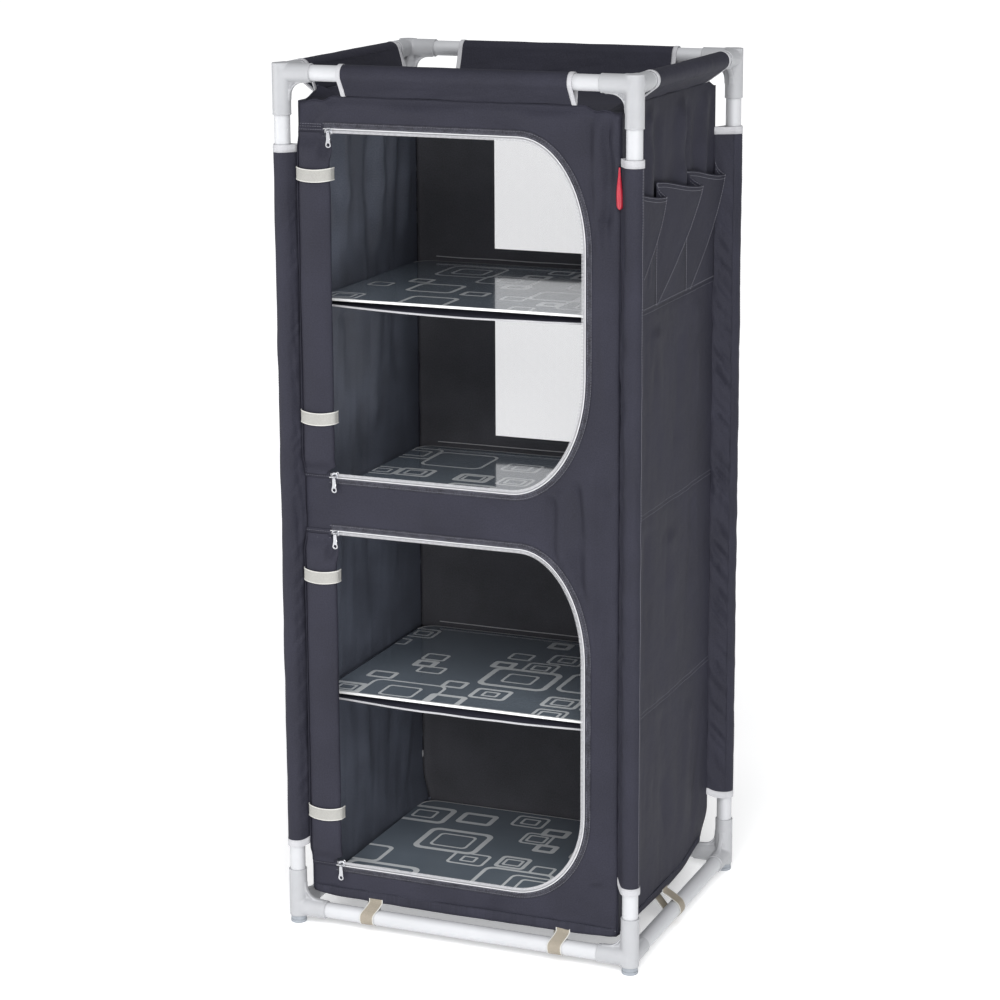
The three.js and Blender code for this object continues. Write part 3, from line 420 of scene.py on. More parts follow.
# Woven cloth: threads both ways, clouds of a paler shade, rougher and smoother patches, and soft crumples
# Real threads are about 0.45 mm apart; they are drawn 0.8 mm apart or more so that they show
def wovenMaterial(name, look):
    material, tree, shader = newMaterial(name, {
        "Base Color": linear(look["light"]), "Roughness": look["roughness"], "Specular IOR Level": look["shine"],
        "Sheen Weight": look["sheen"], "Sheen Roughness": 0.5, "Sheen Tint": linear(look["light"])})
    flat = addNode(tree, "ShaderNodeAttribute", attribute_name="clothPlace").outputs["Vector"]
    axes = addNode(tree, "ShaderNodeSeparateXYZ", {"Vector": flat})
    waves = []
    for axis, pitch in (("X", look["thread"]), ("Y", look["thread"] * look["ribs"])):
        turn = addNode(tree, "ShaderNodeMath", {0: axes.outputs[axis], 1: math.pi / pitch}, operation="MULTIPLY")
        waves.append(addNode(tree, "ShaderNodeMath", {0: turn.outputs[0]}, operation="SINE").outputs[0])
    weave = addNode(tree, "ShaderNodeMath", {0: waves[0], 1: waves[1]}, operation="MULTIPLY").outputs[0]
    clouds = addNode(tree, "ShaderNodeTexNoise", {"Vector": flat, "Scale": 1 / look["clouds"], "Detail": 4.0})
    yarn = addNode(tree, "ShaderNodeTexNoise", {"Vector": flat, "Scale": 0.5 / look["thread"], "Detail": 2.0})
    mixed = addNode(tree, "ShaderNodeMath", {0: clouds.outputs["Fac"], 1: yarn.outputs["Fac"]}, operation="ADD")
    shade = addNode(tree, "ShaderNodeMath", {0: weave, 1: 0.16, 2: mixed.outputs[0]}, operation="MULTIPLY_ADD")
    share = addNode(tree, "ShaderNodeMapRange", {"Value": shade.outputs[0], "From Min": 0.6, "From Max": 1.4})
    tone = addNode(tree, "ShaderNodeMix", {
        "Factor": share.outputs["Result"], "A": linear(look["dark"]), "B": linear(look["light"])}, data_type="RGBA")
    rough = addNode(tree, "ShaderNodeMapRange", {
        "Value": clouds.outputs["Fac"], "From Min": 0.3, "From Max": 0.7,
        "To Min": look["roughness"] - look["patches"], "To Max": look["roughness"] + look["patches"]})
    crumple = addNode(tree, "ShaderNodeTexNoise", {"Vector": flat, "Scale": 1 / look["crumple"], "Detail": 5.0})
    soft = addNode(tree, "ShaderNodeBump", {
        "Height": crumple.outputs["Fac"], "Strength": 0.6, "Distance": look["crumpleDepth"] * mm})
    fine = addNode(tree, "ShaderNodeBump", {
        "Height": weave, "Normal": soft.outputs["Normal"], "Strength": 0.5, "Distance": look["depth"] * mm})
    tree.links.new(tone.outputs[2], shader.inputs["Base Color"])
    tree.links.new(rough.outputs["Result"], shader.inputs["Roughness"])
    tree.links.new(fine.outputs["Normal"], shader.inputs["Normal"])
    return material


# Oxford polyester, coated on the back: charcoal, with a dull grainy face
oxford = wovenMaterial("oxford polyester", {
    "dark": "#24242c", "light": "#32323d", "roughness": 0.66, "patches": 0.06, "shine": 0.14, "sheen": 0.03,
    "thread": 1.1, "ribs": 1.0, "clouds": 120.0, "depth": 0.12, "crumple": 30.0, "crumpleDepth": 3.0})
# The same cloth's back, coated with polyurethane: smoother, with rougher and smoother patches; its pale bluish colour
# is partly the coat's own and partly painted light, a painted sheen and brightness standing in for the light inside
# the cupboard
lining = wovenMaterial("polyurethane coated lining", {
    "dark": "#40434c", "light": "#606572", "roughness": 0.5, "patches": 0.08, "shine": 0.4, "sheen": 0.0,
    "thread": 1.1, "ribs": 1.0, "clouds": 90.0, "depth": 0.05, "crumple": 45.0, "crumpleDepth": 1.8})
# The back panel's inside: the same cloth with a thin matt coat; its colour is a greyer, darker copy of the lining's,
# painted shade where the back wall gets less light than the side walls
innerCloth = wovenMaterial("matt coated polyester", {
    "dark": "#424246", "light": "#58585e", "roughness": 0.6, "patches": 0.06, "shine": 0.25, "sheen": 0.0,
    "thread": 1.1, "ribs": 1.0, "clouds": 90.0, "depth": 0.08, "crumple": 45.0, "crumpleDepth": 3.0})
# Grosgrain tape, ribbed across its width: pale grey bindings with a soft edge
grosgrain = wovenMaterial("polyester grosgrain", {
    "dark": "#a9a9ad", "light": "#bababd", "roughness": 0.7, "patches": 0.04, "shine": 0.4, "sheen": 0.05,
    "thread": 1.0, "ribs": 2.4, "clouds": 60.0, "depth": 0.2, "crumple": 25.0, "crumpleDepth": 0.5})
# Polypropylene webbing for the straps: beige, of coarse threads that stand out clearly
webbing = wovenMaterial("polypropylene webbing", {
    "dark": "#7d776a", "light": "#988f82", "roughness": 0.66, "patches": 0.05, "shine": 0.4, "sheen": 0.05,
    "thread": 1.3, "ribs": 1.6, "clouds": 40.0, "depth": 0.35, "crumple": 22.0, "crumpleDepth": 0.5})
# Twill tape round the door openings: coarser and more speckled than the cloth
twill = wovenMaterial("polyester twill tape", {
    "dark": "#1d1d22", "light": "#45454e", "roughness": 0.75, "patches": 0.05, "shine": 0.2, "sheen": 0.05,
    "thread": 1.5, "ribs": 1.4, "clouds": 12.0, "depth": 0.3, "crumple": 12.0, "crumpleDepth": 0.6})
# Cotton tape for the ties: a paler and greyer weave than the straps
tape = wovenMaterial("undyed cotton tape", {
    "dark": "#93928e", "light": "#a3a29e", "roughness": 0.72, "patches": 0.04, "shine": 0.3, "sheen": 0.05,
    "thread": 1.3, "ribs": 1.6, "clouds": 40.0, "depth": 0.35, "crumple": 22.0, "crumpleDepth": 0.5})
# The selvedge of the webbing and the tape, of undyed yarn
selvedge = wovenMaterial("undyed polypropylene yarn", {
    "dark": "#b5b4b0", "light": "#cac9c5", "roughness": 0.6, "patches": 0.04, "shine": 0.4, "sheen": 0.0,
    "thread": 1.3, "ribs": 1.6, "clouds": 40.0, "depth": 0.3, "crumple": 22.0, "crumpleDepth": 0.4})
# Satin ribbon: red, close woven and a little glossy
ribbon = wovenMaterial("satin ribbon", {
    "dark": "#9c1a2c", "light": "#b8283c", "roughness": 0.36, "patches": 0.04, "shine": 0.5, "sheen": 0.0,
    "thread": 0.8, "ribs": 1.0, "clouds": 30.0, "depth": 0.08, "crumple": 18.0, "crumpleDepth": 0.5})
# Spun polyester sewing thread, a shade lighter than the cloth
thread, tree, shader = newMaterial("spun polyester thread", {"Base Color": linear("#62626b"), "Roughness": 0.6})
place = addNode(tree, "ShaderNodeTexCoord").outputs["Object"]
twist = addNode(tree, "ShaderNodeTexNoise", {"Vector": place, "Scale": 2400.0})
bump = addNode(tree, "ShaderNodeBump", {"Height": twist.outputs["Fac"], "Strength": 0.4, "Distance": 0.0002})
tree.links.new(bump.outputs["Normal"], shader.inputs["Normal"])
print("cloth materials made")


def addSheet(name, data, flat, held, nodes=(), thickness=1.1, offset=-1.0, area=None, rests=(), slot="cloth",
             lined=False):
    piece = addPiece(name, data, nodes=nodes)
    solid = piece.modifiers.new("thickness", "SOLIDIFY")
    solid.thickness = thickness * mm
    solid.offset = offset
    if lined:
        solid.material_offset = 1


def runAlong(points):  # how far along its path each point lies
    return np.concatenate([[0], np.cumsum(np.linalg.norm(np.diff(points, axis=0), axis=1))])


def unit(vectors):
    return vectors / np.linalg.norm(vectors, axis=1)[:, None]


def resampled(points, pitch, closed=False):  # the same path in steps of about pitch
    points = np.asarray(points, float)
    if closed:
        points = np.vstack([points, points[:1]])
    run = runAlong(points)
    count = max(int(round(run[-1] / pitch)), 2)
    at = np.linspace(0, run[-1], count + 1)
    made = np.stack([np.interp(at, run, points[:, i]) for i in range(points.shape[1])], 1)
    return made[:-1] if closed else made


def inLoop(points, loop):  # whether each point lies inside a closed loop
    inside = np.zeros(len(points), bool)
    x, y = points[:, 0], points[:, 1]
    for (x0, y0), (x1, y1) in zip(loop, np.roll(loop, -1, axis=0)):
        if y0 == y1:
            continue
        crosses = ((y0 > y) != (y1 > y)) & (x < (x1 - x0) * (y - y0) / (y1 - y0) + x0)
        inside ^= crosses
    return inside


def nearLoop(points, loop):  # distance from each point to a closed loop
    best = np.full(len(points), 1e9)
    for a, b in zip(loop, np.roll(loop, -1, axis=0)):
        step = b - a
        size = step @ step
        if size == 0:
            continue
        t = np.clip(((points - a) @ step) / size, 0, 1)
        best = np.minimum(best, np.hypot(*(points - a - t[:, None] * step).T))
    return best


def triangulated(loops, loose=()):  # flat triangles with an edge along each loop, and their middles
    coords, edges = [], []
    for loop in loops:
        first = len(coords)
        coords += [Vector(p) for p in loop]
        edges += [(first + i, first + (i + 1) % len(loop)) for i in range(len(loop))]
    coords += [Vector(p) for p in loose]
    made, _, triangles, *_ = delaunay_2d_cdt(coords, edges, [], 0, 1e-4)
    points, triangles = np.array([p[:] for p in made]), np.array(triangles)
    return points, triangles, points[triangles].mean(1)


def fillSheet(outline, holes, pitch):  # flat triangles inside an outline and outside its holes
    loops = [resampled(loop, pitch, closed=True) for loop in [outline, *holes]]

    def onCloth(spots):
        inside = inLoop(spots, loops[0])
        for loop in loops[1:]:
            inside &= ~inLoop(spots, loop)
        return inside

    low, high = loops[0].min(0), loops[0].max(0)
    columns, rows = ((high - low) / pitch).astype(int)
    grid = np.stack(np.meshgrid(np.linspace(low[0], high[0], columns + 1), np.linspace(low[1], high[1], rows + 1)),
                    -1).reshape(-1, 2)
    grid = grid[onCloth(grid)]
    for loop in loops:
        grid = grid[nearLoop(grid, loop) > pitch * 0.45]
    points, triangles, middles = triangulated(loops, grid)
    return points, triangles[onCloth(middles)]


def sheetData(name, points, faces, materials, place, outward, sharp=50):
    # faces turned so that they look along outward
    first = points[np.asarray(faces[0])]
    square = np.cross(first[1] - first[0], first[2] - first[0])
    if square @ np.asarray(outward, float) < 0:
        faces = [tuple(reversed(tuple(face))) for face in faces]
    else:
        faces = [tuple(face) for face in faces]
    return meshFrom(name, points, faces, materials, place=place, sharp=sharp)


def gridSheet(name, grid, places, materials, outward, size, held, sharp=50, **more):
    # a sheet of rows of points; places says where they lie on the flat cloth
    rows, columns = grid.shape[:2]
    flat = np.stack([np.broadcast_to(axis, (rows, columns)).ravel() for axis in places], 1)
    data = sheetData(name, grid.reshape(-1, 3), gridFaces(columns - 1, rows - 1), materials, flat, outward, sharp)
    addSheet(name, data, size, held, **more)


def stripSheet(name, grid, run, width, cloth, size, **more):
    # a strip of webbing or tape, whose two outermost rows are the selvedge
    rows, columns = grid.shape[:2]
    flat = np.stack([np.tile(run, rows), np.repeat(np.linspace(-0.5, 0.5, rows) * width, columns)], 1)
    slots = np.repeat(np.isin(np.arange(rows - 1), (0, rows - 2)).astype(int), columns - 1)
    data = meshFrom(name, grid.reshape(-1, 3), gridFaces(columns - 1, rows - 1), [cloth, selvedge],
                    place=flat, faceMaterials=slots)
    addSheet(name, data, size, "stretched", offset=0.0, slot="webbing", **more)


# Rows of stitches, each a short thread lying along its seam
stitch = {"length": 3.3, "pitch": 4.2}


def stitchRows(name, rows, lift=0.15, radius=0.32):
    # each row is a path and the way out of the cloth along it; one stitch is a six sided rod with thin ends
    template = np.array([(end * stitch["length"], size * math.cos(a) * radius, size * math.sin(a) * radius)
                         for end, size in ((-0.5, 0.35), (-0.25, 1.0), (0.25, 1.0), (0.5, 0.35))
                         for a in np.arange(6) * math.pi / 3])
    faces = gridFaces(6, 3, loop=True) + [tuple(range(5, -1, -1)), tuple(range(18, 24))]
    allPoints, allFaces = [], []
    for path, out in rows:
        path = resampled(path, stitch["pitch"])
        middle = (path[1:] + path[:-1]) / 2
        along = unit(path[1:] - path[:-1])
        out = np.broadcast_to(np.asarray(out, float), along.shape)
        across = unit(np.cross(along, out))
        up = np.cross(across, along)
        for m, a, s, u in zip(middle, along, across, up):
            first = len(allPoints) * len(template)
            allPoints.append(m + u * lift + template[:, :1] * a + template[:, 1:2] * s + template[:, 2:] * u)
            allFaces += [tuple(first + i for i in face) for face in faces]
    addPiece(name, meshFrom(name, np.vstack(allPoints), allFaces, [thread]))


# Front panel with its two door openings; each fold is its place, lower end, upper end, width, height and lean
front = {"left": -221.0, "right": 208.0, "pitch": 4.0, "seam": 262.0, "folds": [
    (212, 1090, 1345, 9, -2.6, -5), (228, 1080, 1345, 9, 3.2, 4), (244, 1120, 1345, 7, -3.0, 8),
    (254, 1230, 1345, 6, 1.2, 6), (150, 1300, 1346, 30, 1.4, 20), (80, 1302, 1346, 26, -1.2, -12),
    (-60, 1302, 1346, 34, 1.3, 16), (-150, 1304, 1346, 24, -1.2, 12), (150, 585, 760, 8, -2.4, 8),
    (168, 600, 770, 9, 2.2, 0), (198, 545, 790, 7, -2.6, -6), (215, 560, 800, 10, 2.2, -12),
    (234, 420, 860, 9, -1.8, 10), (-40, 668, 748, 22, 1.6, 10), (60, 668, 750, 16, -1.4, -14),
    (218, 60, 170, 12, 1.8, 46), (205, 58, 140, 10, -2.0, 50), (60, 57, 96, 14, -1.2, 30),
    (-90, 57, 98, 18, 1.2, -30), (-240, 1302, 1338, 7, -1.6, 12), (-214, 1304, 1340, 8, 2.2, 20),
    (240, 860, 1120, 9, 1.6, -10)]}
openings = {
    "upper": {"low": 751.5, "high": 1300.0, "top": (108.0, 168.0), "bottom": (122.0, 188.0),
              "ties": (1232.0, 850.0)},
    "lower": {"low": 104.0, "high": 664.5, "top": (108.0, 174.0), "bottom": (118.0, 137.0),
              "ties": (593.5, 198.0)},
}
boardTops = [63.8, 385.8, 707.8, 1029.8]
seamHeights = boardTops[1:]  # where the slings are sewn to the walls


def openingEdge(span, inset, steps=20):  # from the upper left end round the right to the lower left end
    right, top, low = front["right"] - inset, span["high"] - inset, span["low"] + inset
    topX, topZ = (size - inset for size in span["top"])
    lowX, lowZ = (size - inset for size in span["bottom"])
    edge = [(front["left"] + inset, top)]
    for i in range(steps + 1):
        angle = math.pi / 2 * (1 - i / steps)
        edge.append((right - topX + topX * math.cos(angle), top - topZ + topZ * math.sin(angle)))
    for i in range(steps + 1):
        angle = -math.pi / 2 * i / steps
        edge.append((right - lowX + lowX * math.cos(angle), low + lowZ + lowZ * math.sin(angle)))
    edge.append((front["left"] + inset, low))
    return np.array(edge)


doorHoles = [openingEdge(span, 0) for span in openings.values()]
bottomEdge = np.array([(-264, 60), (-246, 57), (-175, 54), (-107, 54), (32, 53), (180, 54), (264, 57)])


def foldedOut(along, z, folds):  # how far soft folds stand out of a panel
    out = 0
    for place, low, high, width, height, lean in folds:
        middle = place + lean * (z - (low + high) / 2) / (high - low) + 3 * softNoise(z / 45, place, 17)
        ends = smoothStep(low, low + 0.3 * (high - low), z) * smoothStep(high, high - 0.12 * (high - low), z)
        uneven = 1 + 0.5 * softNoise(z / 38, place + 7, 18)
        out = out + 2.5 * height * ends * uneven * np.exp(-((along - middle) / (1.25 * width)) ** 2)
    return out


def seamRise(x):  # how far the front's and back's top edge is drawn up to the rail's sleeve
    off = np.abs(x) - 222
    return 10 * smoothStep(258, 190, np.abs(x)) - 3.0 * np.cos(off / 6.4) * np.exp(-(off / 24) ** 2)


def edgeRise(y):  # and the sides' top edge, which peaks where the sleeve begins
    return 10 * smoothStep(-205, -164, y) * smoothStep(212, 172, y) + 8 * np.exp(-((np.abs(y) - 160) / 9) ** 2)


def frontPlace(x, z):  # the outer face of the front cloth
    x, z = np.asarray(x, float), np.asarray(z, float)
    flat = np.stack([x.ravel(), z.ravel()], 1)
    near = np.minimum(nearLoop(flat, doorHoles[0]), nearLoop(flat, doorHoles[1])).reshape(x.shape)
    away = smoothStep(2, 40, near)
    wave = 1.3 * softNoise(x / 85 + 3, z / 150, 11) + 0.7 * softNoise(x / 30, z / 60, 12)
    wave += 0.55 * softNoise(x / 13 + z / 210, z / 120, 15) + 0.35 * softNoise(x / 7 - z / 90, z / 60, 16)
    taut = 0.5 * softNoise((x + z) / 16, (x - z) / 90, 13) * np.exp(-near / 22) * (near > 0.5)
    band = np.exp(-((z - 706) / 26) ** 2) * softNoise(x / 60, z / 14, 14)  # between the two openings
    out = (wave + band) * away + taut + foldedOut(x, z, front["folds"]) * smoothStep(10, 26, near)
    out = out * smoothStep(0, 12, boxTop - z) * smoothStep(0, 12, z - 54)
    bend = 0  # the cloth turns back at its sides, its top and its bottom
    for depth, past, reach in ((2.6, np.abs(x) - 256, 8), (3.0, z - 1336, 6), (2.0, 62 - z, 8)):
        share = np.clip(past, 0, reach) / (reach + 0.01)
        bend = bend + depth * (1 - np.sqrt(np.clip(1 - share ** 2, 0, 1)))
    return np.stack([x, boxFront - out + bend + 0.3, z], -1)


topEdge = [(x, boxTop - 1 + float(seamRise(x))) for x in np.linspace(264, -264, 89)]
flat, triangles = fillSheet(np.vstack([bottomEdge, topEdge]), doorHoles, front["pitch"])
points = frontPlace(flat[:, 0], flat[:, 1])
data = sheetData("front_cloth", points, triangles, [oxford, lining], flat, (0, -1, 0))
addSheet("front_cloth", data, (530, 1290), "stretched", nodes=["front_panel"], area=0.228, lined=True)


def frontRow(path):  # a seam that follows the front cloth
    path = resampled(np.asarray(path, float), 6)
    return frontPlace(path[:, 0], path[:, 1]), (0, -1, 0)


rows = [frontRow([(-front["seam"], height), (-224, height)]) for height in (1307, 1303)]
for spanName, span in openings.items():
    for inset in (-2.6, -8.4):
        row, out = frontRow(openingEdge(span, inset) + (1.5, 0))
        rows.append((row[1:-1] - (0, 0.5, 0), out))
    # a flat tape under the two rows, all round the opening
    insets = np.array([0.4, -1.0, -5.5, -10.6])
    edges = []
    for inset in insets:
        edge = openingEdge(span, inset, steps=60)
        edge[[0, -1], 0] = front["left"] + 1.5
        edges.append(np.vstack([np.linspace(edge[0], edge[1], 90, endpoint=False), edge[1:-2],
                                np.linspace(edge[-2], edge[-1], 90)]))
    grid = np.stack(edges)
    run = runAlong(edges[1])
    gridSheet(f"opening_tape_{spanName}", frontPlace(grid[..., 0], grid[..., 1]) - (0, 0.45, 0),
              (run, insets[:, None]), [twill], (0, -1, 0), (float(run[-1]), 11), "stretched",
              thickness=0.4, offset=1.0)
rows.append(frontRow([(-front["seam"], 63), (-107, 59), (32, 58), (front["seam"], 62)]))
stitchRows("front_stitches", rows, radius=0.42)
print("front cloth made")

# Side panels: cloth that hangs from the top, drawn in where the shelf slings are sewn on
side = {"front": -228.4, "back": 214.4, "pitch": 4.0, "folds": [
    (-150, 1040, 1345, 17, -2.4, 12), (-108, 1020, 1345, 15, 2.8, 8), (-70, 1060, 1345, 16, -2.2, -6),
    (34, 1030, 1345, 16, 3.0, 14), (64, 1040, 1345, 13, -2.6, 18), (118, 1050, 1345, 15, -2.4, 22),
    (150, 1030, 1345, 13, 3.0, 30), (182, 1060, 1345, 11, -2.2, 30), (-60, 820, 1000, 16, 1.8, -20),
    (40, 760, 980, 18, -1.6, 30), (130, 800, 1020, 14, 1.8, -24), (-120, 440, 690, 18, -1.5, 20),
    (20, 430, 660, 20, 1.8, -30), (110, 470, 700, 15, -1.6, 24), (-150, 90, 360, 16, 1.4, 20),
    (-20, 120, 370, 18, -1.6, -24), (90, 80, 350, 16, 1.8, 40), (150, 70, 300, 12, -2.0, 60)]}


def sidePlace(sign, y, z):
    y, z = np.asarray(y, float), np.asarray(z, float)
    seed = 30 if sign > 0 else 40
    inner = np.sin(np.pi * np.clip((y + 228.4) / 442.8, 0, 1)) ** 0.6
    hills = 1.7 * softNoise(y / 62 + 5, z / 330, seed) + 0.9 * softNoise(y / 24 + z / 300, z / 130, seed + 1)
    hills += 0.5 * softNoise(y / 11 - z / 160, z / 80, seed + 2)
    drawn = 0
    for seam in seamHeights:
        drawn = drawn + 1.1 * np.exp(-((z - seam + 3) / 9) ** 2)
    corner = smoothStep(60, 216, y) * smoothStep(120, 52, z)
    out = (hills + 1.0) * inner * smoothStep(0, 16, boxTop - z) * smoothStep(0, 20, z - 50) - drawn * inner
    out = out + foldedOut(y, z, side["folds"]) * inner
    return np.stack([sign * (boxX - 0.6 + out - 12 * corner), y, z], -1)


sideEdge = {"y": [-228.4, -130, 4, 60, 120, 214.4], "z": [57, 58, 53, 55, 58, 62]}
for sideName, sign in (("left", -1), ("right", 1)):
    columns = int((side["back"] - side["front"]) / side["pitch"])
    rowCount = int((boxTop - 56) / side["pitch"])
    y, share = np.meshgrid(np.linspace(side["front"], side["back"], columns + 1), np.linspace(0, 1, rowCount + 1))
    low = np.interp(y, sideEdge["y"], sideEdge["z"])
    z = low + (boxTop + edgeRise(y) - low) * share
    gridSheet(f"side_cloth_{sideName}", sidePlace(sign, y, z), (y, z), [oxford, lining], (sign, 0, 0),
              (445, 1290), "stretched", nodes=[f"side_panel_{sideName}"], lined=True)
    rows = []
    for seam in seamHeights:
        for step in (-6.5, 0):
            path = resampled([(side["front"] + 3, seam + step), (side["back"] - 3, seam + step)], 6)
            rows.append((sidePlace(sign, path[:, 0], path[:, 1]), (sign, 0, 0)))
    stitchRows(f"side_stitches_{sideName}", rows)
print("side cloth made")


# Sleeves round the rails and legs: a loop round the tube that is drawn in to a tail
sleeve = {"radius": 14.3, "tail": 1.6, "points": 72, "clear": 13.8, "bindingRise": 0.6,
          "frontEnds": (-188, 193), "sideEnds": (-173, 173), "legEnds": (133, 1274)}


def teardrop(tailX, tailY):
    radius, small = sleeve["radius"], sleeve["tail"]
    toTail = math.atan2(tailY, tailX)
    tangent = math.acos((radius - small) / math.hypot(tailX, tailY))
    around = np.linspace(toTail + tangent, toTail + 2 * math.pi - tangent, 48)
    tip = np.linspace(toTail - tangent, toTail + tangent, 7)
    loop = np.vstack([np.stack([radius * np.cos(around), radius * np.sin(around)], 1),
                      np.stack([tailX + small * np.cos(tip), tailY + small * np.sin(tip)], 1)])
    return resampled(loop, 1, closed=True)


def sleevePiece(name, start, end, across, up, tail, look):
    start, end, across, up = (np.asarray(p, float) for p in (start, end, across, up))
    length = np.linalg.norm(end - start)
    along = (end - start) / length
    loop = teardrop(*tail)
    loop = np.vstack([loop, loop[:1]])
    run = runAlong(loop)
    perimeter = run[-1]
    at = np.linspace(0, perimeter, sleeve["points"] + 1)[:-1]
    ring = np.stack([np.interp(at, run, loop[:, i]) for i in (0, 1)], 1)
    tangent = unit(np.roll(ring, -1, axis=0) - np.roll(ring, 1, axis=0))
    normal = np.stack([tangent[:, 1], -tangent[:, 0]], 1)
    if (normal * ring).sum() < 0:
        normal = -normal
    tailWay = np.asarray(tail, float) / math.hypot(*tail)
    toTail = np.clip((ring @ tailWay) / math.hypot(*tail), 0, 1) ** 1.5  # 1 at the tail
    stations = int(length / (4.5 if "shirr" in look else 8))
    s, i = np.meshgrid(np.linspace(0, 1, stations + 1), np.arange(len(ring)), indexing="ij")
    # both ends lean towards the middle where the tail is
    leanLow, leanHigh = (lean * toTail[i] ** 2 for lean in look["leans"])
    place = leanLow + (length - leanLow - leanHigh) * s
    fade = np.sin(np.pi * s) ** 0.35
    wrinkle = look["wrinkle"] * softNoise(at[i] / 13 + place / 60, place / 46 - at[i] / 40, look["seed"])
    wrinkle += 0.5 * look["wrinkle"] * softNoise(at[i] / 6, place / 24 + at[i] / 9, look["seed"] + 1)
    # gathers that run down from the seam to the tube and move both walls of the loop alike
    reach = (ring @ tailWay)[i]
    slack = 0.35 * ((4 * toTail[i] * (1 - toTail[i])) ** 0.6 + 0.15 * (toTail[i] < 0.5))
    gather = softNoise((place - 1.3 * reach) / 10, place / 110, look["seed"] + 2)
    gather = look.get("shirr", 0) * gather * slack * fade
    free = 0.35 + 0.65 * toTail[i]
    out = wrinkle * fade * free + 0.5 * look["wrinkle"] * free
    section = ring[i] + normal[i] * out[..., None] + np.array([-tailWay[1], tailWay[0]]) * gather[..., None]
    # no point comes closer to the tube's axis than this, which keeps the cloth off the tube
    section = section * np.maximum(1, sleeve["clear"] / np.linalg.norm(section, axis=-1, keepdims=True))

    def lift(flatSection, distance):
        return start + flatSection[..., :1] * across + flatSection[..., 1:] * up + distance[..., None] * along

    points = lift(section, place)
    faces = gridFaces(len(ring), stations, loop=True)
    flat = np.stack([at[i].ravel(), place.ravel()], 1)
    allPoints = points.reshape(-1, 3)
    if "seam" in look:
        outer = int(np.argmax(ring @ np.array(look["seam"])))
        stitchRows(f"{name}_stitches", [(points[1:-1, outer], look["seam"] + (0.0,))], lift=0.3, radius=0.42)
    data = meshFrom(name, allPoints, outwardLoop(allPoints, faces, start, end), [oxford, lining], place=flat)
    addSheet(name, data, (perimeter, length), "stretched", nodes=look["nodes"], lined=True, rests=look["rests"])
    # the pale tape folded over each end: up the outside, round the edge and down the inside
    for which, way, lean in (("low", 1, look["leans"][0]), ("high", -1, look["leans"][1])):
        away = np.array([look["binding"] * 0.8, 4.0, -0.6, -0.6, 4.0, look["binding"]])
        grow = np.array([-1.6, -1.7, -1.0, 0.5, sleeve["bindingRise"], 0.35])
        k, j = np.meshgrid(np.arange(6), np.arange(len(ring)), indexing="ij")
        edge = lean * toTail[j] ** 2
        edge, row = (edge, 0) if way > 0 else (length - edge, stations)
        base = ring[j] + normal[j] * (out[row][j] + grow[k])[..., None]
        tapePoints = lift(base, edge + way * away[k]).reshape(-1, 3)
        tapeFlat = np.stack([at[j].ravel(), away[k].ravel()], 1)
        tapeName = f"{name}_binding_{which}"
        data = meshFrom(tapeName, tapePoints, gridFaces(len(ring), 5, loop=True), [grosgrain], place=tapeFlat)
        addSheet(tapeName, data, (perimeter, 2.2 * max(look["binding"], 7)), "folded", thickness=0.5, offset=0.0)


def outwardLoop(points, faces, start, end):  # faces of a sleeve put so that they look away from its tube
    corner = points[list(faces[0])]
    square = np.cross(corner[1] - corner[0], corner[2] - corner[0])
    along = (end - start) / np.linalg.norm(end - start)
    middle = corner.mean(0) - start
    middle -= along * (middle @ along)
    return [tuple(reversed(f)) for f in faces] if square @ middle < 0 else faces


railZ = cupboard["topRail"]
tailDrop = boxTop + 11.0 - railZ
low, high = sleeve["frontEnds"]
for sideName, sign, wall in (("front", -1, -boxFront), ("back", 1, boxBack)):
    sleevePiece(f"rail_cloth_{sideName}", (low, sign * legY, railZ), (high, sign * legY, railZ), (0, 1, 0), (0, 0, 1),
                (sign * (wall - 0.75) - sign * legY, tailDrop),
                {"leans": (-1.0, 0.0), "binding": 6.5, "wrinkle": 0.9, "seed": 50 + sign,
                 "nodes": [f"rail_sleeve_{sideName}"], "rests": [f"top_rail_{sideName}_tube"]})
for sideName, sign in (("left", -1), ("right", 1)):
    low, high = sleeve["sideEnds"]
    sleevePiece(f"rail_cloth_{sideName}", (sign * legX, low, railZ), (sign * legX, high, railZ), (1, 0, 0), (0, 0, 1),
                (sign * (boxX - 0.75 - legX), tailDrop),
                {"leans": (0.0, 5.0), "binding": 6.5, "wrinkle": 0.9, "seed": 60 + sign,
                 "nodes": [f"rail_sleeve_{sideName}"], "rests": [f"top_rail_{sideName}_tube"]})
    for end, y, tailY in (("front", -legY, boxFront + 4.5), ("back", legY, boxBack - 4)):
        low, high = sleeve["legEnds"]
        sleevePiece(f"leg_cloth_{end}_{sideName}", (sign * legX, y, low), (sign * legX, y, high),
                    (1, 0, 0), (0, 1, 0), (sign * (boxX + 0.3 - legX), tailY - y),
                    {"leans": (8.0, 0.0), "binding": 11.0, "wrinkle": 2.0, "shirr": 12.0 if y > 0 else 4.0,
                     "seam": (sign * 0.985, -0.17 if y < 0 else 0.17), "seed": 70 + 3 * sign + int(y / 200),
                     "nodes": [f"side_panel_{sideName}"], "rests": [f"leg_{end}_{sideName}_tube"]})
print("sleeves made")

# Back panel with its two windows, and the mesh sewn behind them
back = {"window": 122.0, "margin": 25.0, "meshHem": 12.0, "pitch": 6.0, "edge": 264.0}
windows = [(boardTops[2] + back["margin"], boardTops[3] - 5.5 - back["margin"]),
           (boardTops[3] + back["margin"], boxTop - back["margin"])]


